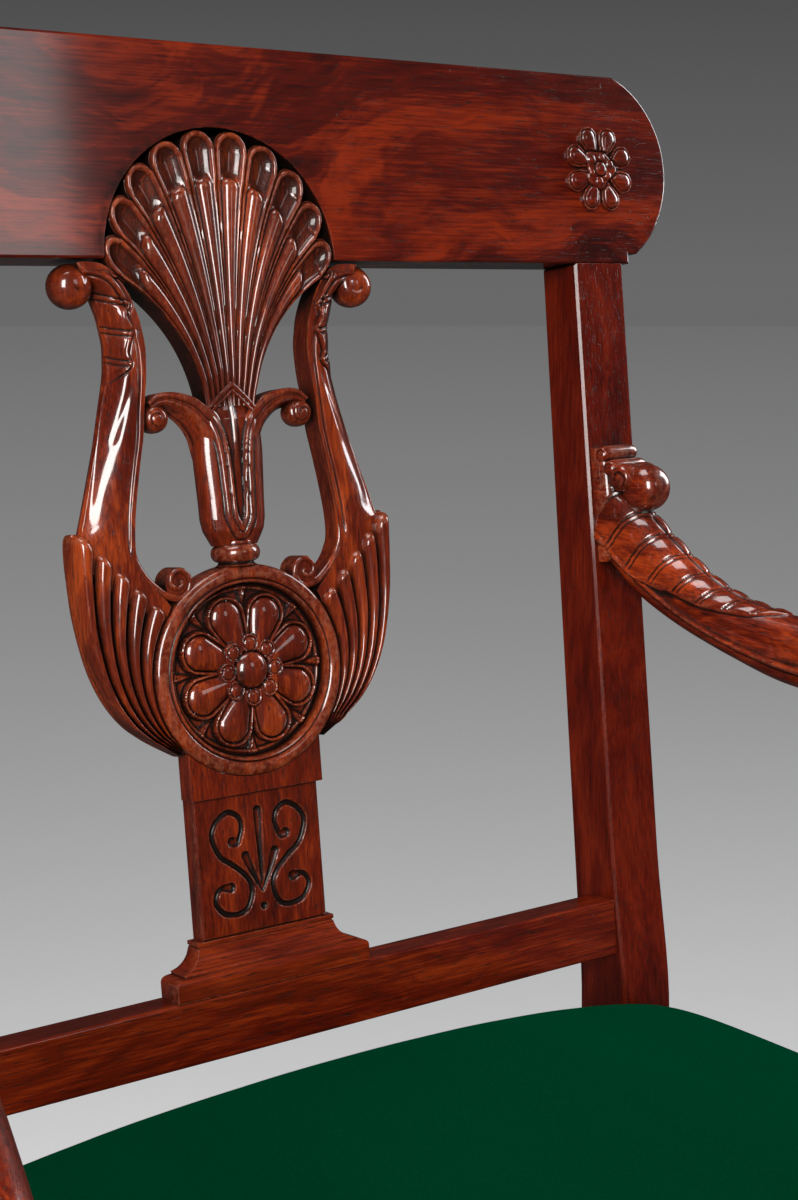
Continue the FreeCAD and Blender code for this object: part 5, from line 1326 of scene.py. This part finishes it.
@dataclass
class Arm:
    """A swept arm with a leaf on its top, rolls at the stile and a volute at its front."""

    finish: bpy.types.Material
    upper: Points = (
        (-18, -100), (-30, -113), (-54, -131), (-89, -150.5), (-135, -161.5), (-200.9, -166),
        (-260.4, -173.5), (-312.5, -187), (-355, -207), (-378, -219),
    )
    lower: Points = (
        (-4, -147), (-16, -151), (-40, -169), (-75, -184.5), (-121, -195.5), (-197, -201.3), (-256, -205.5),
        (-303, -211.5), (-338, -222), (-360, -236),
    )
    half: float = 13.0
    leaf_from: float = -20.0
    leaf_tip: float = -122.0

    def build(self) -> None:
        """Carve the right arm and mirror it."""
        self._upper, self._lower = Line(self.upper, False, 240), Line(self.lower, False, 240)
        right = Carving()
        right.tube(168, 420, self._rule)
        Scroll((0.5, -36, -111), 11.7, 10.6, 0.8, 30, 0.0, 0.6, -1, 0).carve(right, 80, 64)
        Scroll((0, -28.5, -106), 7.2, 13.2, 0.4, 4.6, 0.6, 0.6, -1, 0).carve(right, 64, 56)
        Scroll((0, -16.5, -95), 4.3, 13.0, 0.4, 3.4, 0.4, 0.6, -1, 0).carve(right, 40, 48)
        Scroll((0, -22.5, -101.5), 4.4, 13.4, 0.4, 3.4, 0.4, 0.6, -1, 0).carve(right, 40, 48)
        Scroll((0, -372, -238), 20.0, 15.5, 0.3, 6.5, 1.1, -0.7, 1, 0).carve(right, 128, 110)
        right.board(24, 48, self._pad, -6.0, 1)
        left = right.mirror()
        side = Matrix.Diagonal((-1, 1, 1, 1))
        right.finish("scrolled_arm_right", ARM, self.finish, replaces=["arm_right"])
        left.finish("scrolled_arm_left", side @ ARM @ side, self.finish, replaces=["arm_left"])

    def _pad(self, u: Array, v: Array) -> Array:
        """Place the rounded plate that meets the stile."""
        z = -92 - 57 * v
        lean = -11.3 - 7.5 * (z + 91) / -59
        x = 12.4 * (2 * u - 1)
        crown = 7.5 * dome(np.abs(2 * u - 1) ** 2.2 * 0.97) * dome(np.abs(2 * v - 1) ** 3 * 0.96)
        return stack(x, lean - 1.0 - crown, z)

    def _rule(self, u: Array, v: Array) -> Array:
        """Place the arm's skin, its seam on the outer side."""
        along = np.interp(v, (0, 0.1, 0.3, 0.5, 0.72, 1), (0, 1 / 9, 2 / 9, 3 / 9, 4 / 9, 1))
        (yu, zu), (yl, zl) = self._upper.at(along), self._lower.at(along)
        my, mz = (yu + yl) / 2, (zu + zl) / 2
        slim = np.exp(-(((my + 85) / 52) ** 2))
        hy, hz = (yu - yl) / 2 * (1 - 0.2 * slim), (zu - zl) / 2 * (1 - 0.2 * slim)
        mz = mz - 1.4 * slim
        angle = 2 * math.pi * u
        side, up = np.cos(angle), np.sin(angle)
        tall = np.sign(up) * np.abs(up) ** np.where(up > 0, 0.95, 0.7)
        wide = np.sign(side) * np.abs(side) ** np.where(up > 0, 0.86, 0.5)
        size = np.hypot(hy, hz)
        lean = np.degrees(np.arctan2(up, np.abs(side)))
        rise = 0.9 * np.exp(-(((lean + 15) / 4.5) ** 2)) - 1.2 * ease(-20, -27, lean) * ease(-82, -66, lean)
        rise = rise - 0.8 * np.exp(-(((lean - 6) / 13) ** 2))
        # The leaf hangs over the top down to an edge that draws up to its tip.
        share = np.clip((self.leaf_from - my) / (self.leaf_from - self.leaf_tip), 0, 1)
        edge = np.interp(share, (0, 0.15, 0.35, 0.6, 0.82, 1), (-34, -22, -6, 16, 44, 88))
        round_size = (self.half + size) / 2 * math.pi / 180
        on_leaf = (lean - edge) * round_size
        arc = (90 - lean) * round_size
        lift = 1.3 * ease(0, 1.0, on_leaf)
        spine = 0.9 * cut(arc, 1.2) * ease(0.05, 0.2, share)
        vein = np.mod((self.leaf_from - my + 0.3 * arc) / 12.4, 1.0)
        furrow = np.exp(-(((vein - 0.05) / 0.042) ** 2)) + np.exp(-(((vein - 0.21) / 0.042) ** 2))
        pillow = np.sin(math.pi * np.clip((np.mod(vein - 0.2, 1.0)) / 0.86, 0, 1))
        lift = lift + (0.8 * pillow - 0.75 * furrow) * ease(0, 3, on_leaf) * ease(0, 3.5, arc)
        tip = 1.2 * (1 - ease(0.8, 1.15, (self.leaf_from - my) / (self.leaf_from - self.leaf_tip)))
        rise = rise + np.where(share < 1, lift - spine * ease(0, 1, on_leaf), 0) - tip
        width = self.half * wide + rise * side
        gain = (size + 0 * rise) * tall + rise * up
        return stack(width, my + hy / size * gain, mz + hz / size * gain)


@dataclass
class Seat:
    """The loose seat's webs, linen and crowned cushion under its green cloth."""

    cloth: bpy.types.Material
    web: bpy.types.Material
    linen: bpy.types.Material
    front: float = -0.2261
    rear: float = 0.1764
    height: float = 0.448
    roll: float = 0.015
    crown: float = 0.032
    low: float = 0.4254
    slip: float = 0.01054
    half_wide: float = 0.2315
    wide_at: float = 0.1784
    inset: float = 0.001
    brink: float = 0.86
    voxel: float = 0.0055
    pressure: float = 4.0
    frames: int = 20
    most: float = 0.0014
    web_count: int = 4
    web_width: float = 0.05

    def build(self) -> None:
        """Make the cushion and what carries it."""
        self._cushion()
        self._webs()
        self._sheet("hessian", "base_cloth", self.linen, 1.6)
        self._sheet("dust_cloth", "bottom_cloth", self.linen, 1.2)

    def _half(self, y: Array) -> Array:
        """Give half the seat's width at a depth."""
        return self.half_wide + TAPER * (self.wide_at - y) - self.slip - self.inset

    def _cushion(self) -> None:
        """Make the cushion a little small, let the cloth swell, and round it off."""
        inset = self.inset

        def rule(u: Array, v: Array) -> Array:
            """Place the crowned top and the sides down to the rebate."""
            a, b = 2 * u - 1, 2 * v - 1
            span = np.maximum(np.abs(a), np.abs(b))
            inner = np.minimum(span / self.brink, 1)
            scale = np.where(span > 0, inner / np.maximum(span, 1e-9), 1)
            p, q = a * scale, b * scale
            y = (self.front + inset + self.rear - inset) / 2 + q * (self.rear - self.front - 2 * inset) / 2
            x = p * self._half(y)
            rise = self.roll * (1 - np.abs(p) ** 12) * (1 - np.abs(q) ** 12)
            rise = rise + self.crown * (1 - np.abs(p) ** 2.3) * (1 - q**8)
            drop = np.clip((span - self.brink) / 0.14, 0, 1) * (self.height - self.low - 0.001)
            return stack(x, y, self.height + rise - drop - inset * 0.6)

        shape = Carving()
        face = shape.sheet(96, 96, rule)
        bmesh.ops.holes_fill(shape.bm, edges=shape.rim(face), sides=0)
        bmesh.ops.recalc_face_normals(shape.bm, faces=shape.bm.faces)
        mesh = bpy.data.meshes.new("seat_cushion")
        shape.bm.to_mesh(mesh)
        shape.bm.free()
        piece = put("seat_cushion", mesh)
        self._swell(piece)
        self._tuck(piece.data)
        mesh = piece.data
        mesh.polygons.foreach_set("use_smooth", [True] * len(mesh.polygons))
        mesh.materials.clear()
        mesh.materials.append(self.cloth)
        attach(piece, "seat")
        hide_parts("seat_cover", "seat_pad")
        LOG.info("seat_cushion: %d faces", len(mesh.polygons))

    def _tuck(self, mesh: bpy.types.Mesh) -> None:
        """Draw the cover's sides out to where it wraps the seat frame, and fold its corners."""
        places = places_of(mesh)
        middle, deep = (self.front + self.rear) / 2, (self.rear - self.front) / 2 - self.inset
        q = (places[:, 1] - middle) / deep
        p = places[:, 0] / self._half(places[:, 1])
        span = np.maximum(np.maximum(np.abs(p), np.abs(q)), 1e-6)
        low_down = ease(self.height + 0.003, self.height, places[:, 2])
        scale = 1 + (1 / span - 1) * ease(0.93, 0.96, span) * low_down
        corner = (np.abs(p) > 0.98) & (np.abs(q) > 0.98) & (places[:, 2] < self.height + 0.001)
        p = np.where(corner, np.sign(p), p * scale)
        q = np.where(corner, np.sign(q), q * scale)
        places[:, 1] = middle + q * deep
        places[:, 0] = p * self._half(places[:, 1])
        places[:, 2] = np.where(places[:, 2] < self.low + 0.003, self.low, places[:, 2])
        mesh.vertices.foreach_set("co", places.ravel())
        bm = bmesh.new()
        bm.from_mesh(mesh)
        bmesh.ops.remove_doubles(bm, verts=bm.verts[:], dist=0.0002)
        bmesh.ops.dissolve_degenerate(bm, edges=bm.edges[:], dist=0.0001)
        bm.to_mesh(mesh)
        bm.free()

    def _swell(self, piece: bpy.types.Object) -> None:
        """Let the cushion's skin swell under its stuffing, and keep the result."""
        scene = bpy.context.scene
        bpy.context.view_layer.objects.active = piece
        remesh = piece.modifiers.new("even_skin", "REMESH")
        remesh.mode = "VOXEL"
        remesh.voxel_size = self.voxel
        self._keep(piece)
        before = places_of(piece.data)
        cloth = piece.modifiers.new("swell", "CLOTH")
        cloth.settings.use_pressure = True
        cloth.settings.uniform_pressure_force = self.pressure
        cloth.settings.effector_weights.gravity = 0.0
        cloth.settings.quality = 6
        cloth.point_cache.frame_end = self.frames
        for number in range(1, self.frames + 1):
            scene.frame_set(number)
        self._keep(piece)
        scene.frame_set(1)
        move = even_out(piece.data, places_of(piece.data) - before, 14)
        size = np.linalg.norm(move, axis=1, keepdims=True)
        move *= np.minimum(1, self.most / np.maximum(size, 1e-9))
        placed = before + move * ease(self.height - 0.001, self.height + 0.004, before[:, 2:])
        placed[:, 2] = np.maximum(placed[:, 2], self.low)
        piece.data.vertices.foreach_set("co", placed.ravel())
        finer = piece.modifiers.new("finer", "SUBSURF")
        finer.levels = finer.render_levels = 1
        self._keep(piece)

    @staticmethod
    def _keep(piece: bpy.types.Object) -> None:
        """Turn what the modifiers give into the piece's own mesh."""
        graph = bpy.context.evaluated_depsgraph_get()
        mesh = bpy.data.meshes.new_from_object(piece.evaluated_get(graph))
        piece.modifiers.clear()
        piece.data = mesh

    def _webs(self) -> None:
        """Lay the webs, each lightly sagging at the height of its CAD node."""
        for node, name, along in (
            ("webbing_lengthwise", "webs_front_to_back", 1), ("webbing_crosswise", "webs_side_to_side", 0),
        ):
            low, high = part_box(node)
            ends = (low[along], high[along])
            across = 1 - along
            span = high[across] - low[across]
            count, width = self.web_count, self.web_width
            piece = Carving()
            gap = (span - width) / (count - 1)
            for index in range(count):
                centre = low[across] + width / 2 + gap * index

                def rule(u: Array, v: Array, centre: float = centre) -> Array:
                    """Place one web, lightly sagging."""
                    side = centre + width * (u - 0.5)
                    narrow = 0 if along else (side - low[1]) * TAPER
                    run = ends[0] + narrow + (ends[1] - ends[0] - 2 * narrow) * v
                    level = (low[2] + high[2]) / 2 - 0.0015 * np.sin(math.pi * v)
                    z = level + 0 * u
                    return stack(side, run, z) if along else stack(run, side, z)

                face = piece.sheet(10, 60, rule)
                piece.thicken(face, 0.0012)
            made = piece.finish(name, Matrix.Identity(4), self.web, "seat", "webbing", [node])
            length = ends[1] - ends[0] - (0 if along else span * TAPER)
            width * count
            width * length * count

    def _sheet(self, name: str, node: str, finish: bpy.types.Material, sag: float) -> None:
        """Make one stretched cloth in the place of its CAD solid."""
        low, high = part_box(node)
        level = (low[2] + high[2]) / 2
        deep = high[1] - low[1]
        wide = high[0] - low[0]
        taper = 2 * TAPER * deep
        front, back = wide / 2, (wide - taper) / 2

        def rule(u: Array, v: Array) -> Array:
            """Place the cloth with a slight sag in its middle."""
            y = low[1] + deep * v
            half = front + (back - front) * v
            fall = sag * MM * np.sin(math.pi * u) * np.sin(math.pi * v)
            ripple = 0.0003 * np.sin(u * 37 + 3 * v) * np.sin(math.pi * v)
            return stack(half * (2 * u - 1), y, level - fall + ripple)

        piece = Carving()
        face = piece.sheet(60, 60, rule)
        piece.thicken(face, 0.0008)
        made = piece.finish(name, Matrix.Identity(4), finish, "seat", "linen", [node])


@dataclass
class Dressing:
    """Puts finishes on the CAD nodes whose shape stays."""

    finishes: Finishes

    def build(self) -> None:
        """Give every visible node its material."""
        f = self.finishes
        wear = {
            "top_rail": f.top_rail, "cross_rail": f.cross_rail,
            "plinth_cap": f.plinth, "back_seat_rail": f.cross_rail,
            "front_seat_rail": f.cross_rail, "arm_screws": f.screws, "support_screws": f.screws,
            "block_screws": f.screws, "bearer_screws": f.screws, "cover_tacks": f.tacks,
            "rear_seat_bearer": f.beech, "seat_frame_front": f.beech, "seat_frame_back": f.beech,
        }
        for side in ("left", "right"):
            wear[f"rear_leg_{side}"] = wear[f"front_leg_{side}"] = f.stile
            wear[f"arm_support_{side}"] = f.stile
            wear[f"side_rail_{side}"] = f.side_rail
            wear[f"seat_frame_{side}"] = f.beech_deep
            wear[f"corner_block_front_{side}"] = wear[f"corner_block_rear_{side}"] = f.beech
        for name, material in wear.items():
            node = bpy.data.objects[name]
            for slot in node.material_slots:
                slot.material = material
            if not node.material_slots:
                node.data.materials.append(material)
            LOG.info("%s dressed in %s", name, material.name)


@dataclass
class Studio:
    """A pale floor, soft lights, a plain ground and the photograph's viewpoint."""

    floor_reach: float = 40.0
    eye: Colour = (-0.3973, -0.4897, 0.8156)
    aim: tuple[float, float, float] = (80.304, 0.0, -34.332)
    lens: float = 54.76
    ground: float = 0.141
    pool: float = 0.525
    floor_shine: float = 0.035
    air_shine: float = 0.02
    lamps: tuple[tuple[str, Colour, tuple[float, float], float, Colour], ...] = (
        ("window", (-2.0, -2.3, 1.75), (1.3, 1.9), 126, (1.0, 0.98, 0.95)),
        ("side_window", (2.9, 0.1, 1.8), (1.2, 1.6), 56, (0.97, 0.98, 1.0)),
        ("card", (1.02, -2.7, 1.85), (0.55, 0.8), 3.4, (1.0, 0.98, 0.97)),
        ("ceiling", (-0.5, 0.4, 3.2), (1.6, 1.6), 46, (1.0, 1.0, 1.0)),
    )

    def build(self) -> None:
        """Set up everything that isn't the chair."""
        self._floor()
        self._world()
        for name, place, size, power, tint in self.lamps:
            self._lamp(name, place, size, power, tint)
        camera = bpy.data.cameras.new("camera")
        camera.lens = self.lens
        camera.sensor_width = 36
        camera.sensor_fit = "AUTO"
        eye = put("camera", camera)
        eye.location = self.eye
        eye.rotation_euler = [math.radians(angle) for angle in self.aim]
        bpy.context.scene.camera = eye
        bpy.context.scene.view_settings.view_transform = "Standard"

    def _floor(self) -> None:
        """Lay the floor: to the eye a grey with a painted pool of light round the chair; it keeps the chair's
        shadow.
        """
        bm = bmesh.new()
        bmesh.ops.create_circle(bm, cap_ends=True, radius=self.floor_reach, segments=96)
        mesh = bpy.data.meshes.new("floor")
        bm.to_mesh(mesh)
        bm.free()
        floor = put("floor", mesh)
        s = Shader("grey_paper")
        axes = s.add("ShaderNodeSeparateXYZ", None, {0: s.place()})
        x, y = (Wire(s, axes.outputs[index]) for index in (0, 1))
        out = (x * x + y * y + 0.3) ** 0.5
        # Painted pool of light: the floor's emission is brightest near the chair and falls off with distance.
        light = (self.ground + self.pool / out).math("MINIMUM", 0.72)
        near = (out * -0.4).math("EXPONENT") * 0.55
        seen = s.grey(light)
        laid = s.grey(light * 1.25)
        plain = s.add("ShaderNodeBsdfDiffuse", None, {"Color": (0.5, 0.5, 0.5)}).outputs[0]
        soft = s.add("ShaderNodeBsdfDiffuse", None, {"Color": laid}).outputs[0]
        glow = s.add("ShaderNodeEmission", None, {"Color": seen, "Strength": 1.0}).outputs[0]
        both = s.add("ShaderNodeMixShader", None, {0: near, 1: glow, 2: soft}).outputs[0]
        eye, glossy = s.looks()
        shine = {"Color": (self.floor_shine,) * 3, "Strength": 1.0}
        dim = s.add("ShaderNodeEmission", None, shine).outputs[0]
        both = s.add("ShaderNodeMixShader", None, {0: glossy, 1: both, 2: dim}).outputs[0]
        mesh.materials.append(
            s.close(s.add("ShaderNodeMixShader", None, {0: eye, 1: plain, 2: both}).outputs[0])
        )

    def _world(self) -> None:
        """Light the chair evenly, and show a grey ground that fades to dark above."""
        world = bpy.data.worlds.new("studio")
        bpy.context.scene.world = world
        s = Shader("studio", world)
        eye, glossy = s.looks()
        source = s.add("ShaderNodeTexCoord").outputs["Generated"]
        up = s.wire("ShaderNodeSeparateXYZ", None, {0: source}, 2)
        fade = ((0.0, self.ground), (0.15, 0.076), (0.3, 0.035), (1.0, 0.03))
        stops = [(height, (level,) * 3) for height, level in fade]
        sky = s.add("ShaderNodeValToRGB", {"stops": stops}, {0: up}).outputs[0]
        seen = s.add("ShaderNodeBackground", None, {"Color": sky, "Strength": 1.0}).outputs[0]
        shine = {"Color": (self.air_shine,) * 3, "Strength": 1.0}
        dim = s.add("ShaderNodeBackground", None, shine).outputs[0]
        seen = s.add("ShaderNodeMixShader", None, {0: glossy, 1: seen, 2: dim}).outputs[0]
        even = s.add("ShaderNodeBackground", None, {"Color": (0.82, 0.82, 0.84), "Strength": 0.2}).outputs[0]
        both = s.add("ShaderNodeMixShader", None, {0: eye, 1: even, 2: seen}).outputs[0]
        s.add("ShaderNodeOutputWorld", None, {"Surface": both})

    @staticmethod
    def _lamp(name: str, place: Colour, size: tuple[float, float], power: float, tint: Colour) -> None:
        """Hang a soft light that looks at the chair's back."""
        light = bpy.data.lights.new(name, "AREA")
        light.shape = "RECTANGLE"
        light.size, light.size_y = size
        light.energy = power
        light.color = tint
        lamp = put(name, light)
        lamp.location = place
        aim = Vector((0, 0.1, 0.6)) - Vector(place)
        lamp.rotation_euler = aim.to_track_quat("-Z", "Y").to_euler()


@dataclass
class Chair:
    """The whole chair, sub-assembly by sub-assembly."""

    finishes: Finishes = field(default_factory=Finishes)

    def build(self) -> None:
        """Build the carved pieces, the seat and the finishes."""
        f = self.finishes
        Dressing(f).build()
        Fan(f.shell).build()
        Lotus(f.carved).build()
        Collar(f.carved).build()
        Limb(f.limb).build()
        Patera(f.carved, f.carved).build()
        Rosette(f.rosette).build()
        Panel(f.plinth).build()
        Base(f.plinth_base).build()
        Arm(f.arm).build()
        Seat(f.seat, f.web, f.linen).build()


def main() -> None:
    """Build the chair and the studio."""
    logging.basicConfig(level=logging.INFO, format="%(name)s %(message)s")
    Chair().build()
    Studio().build()


if __name__ == "__main__":
    main()
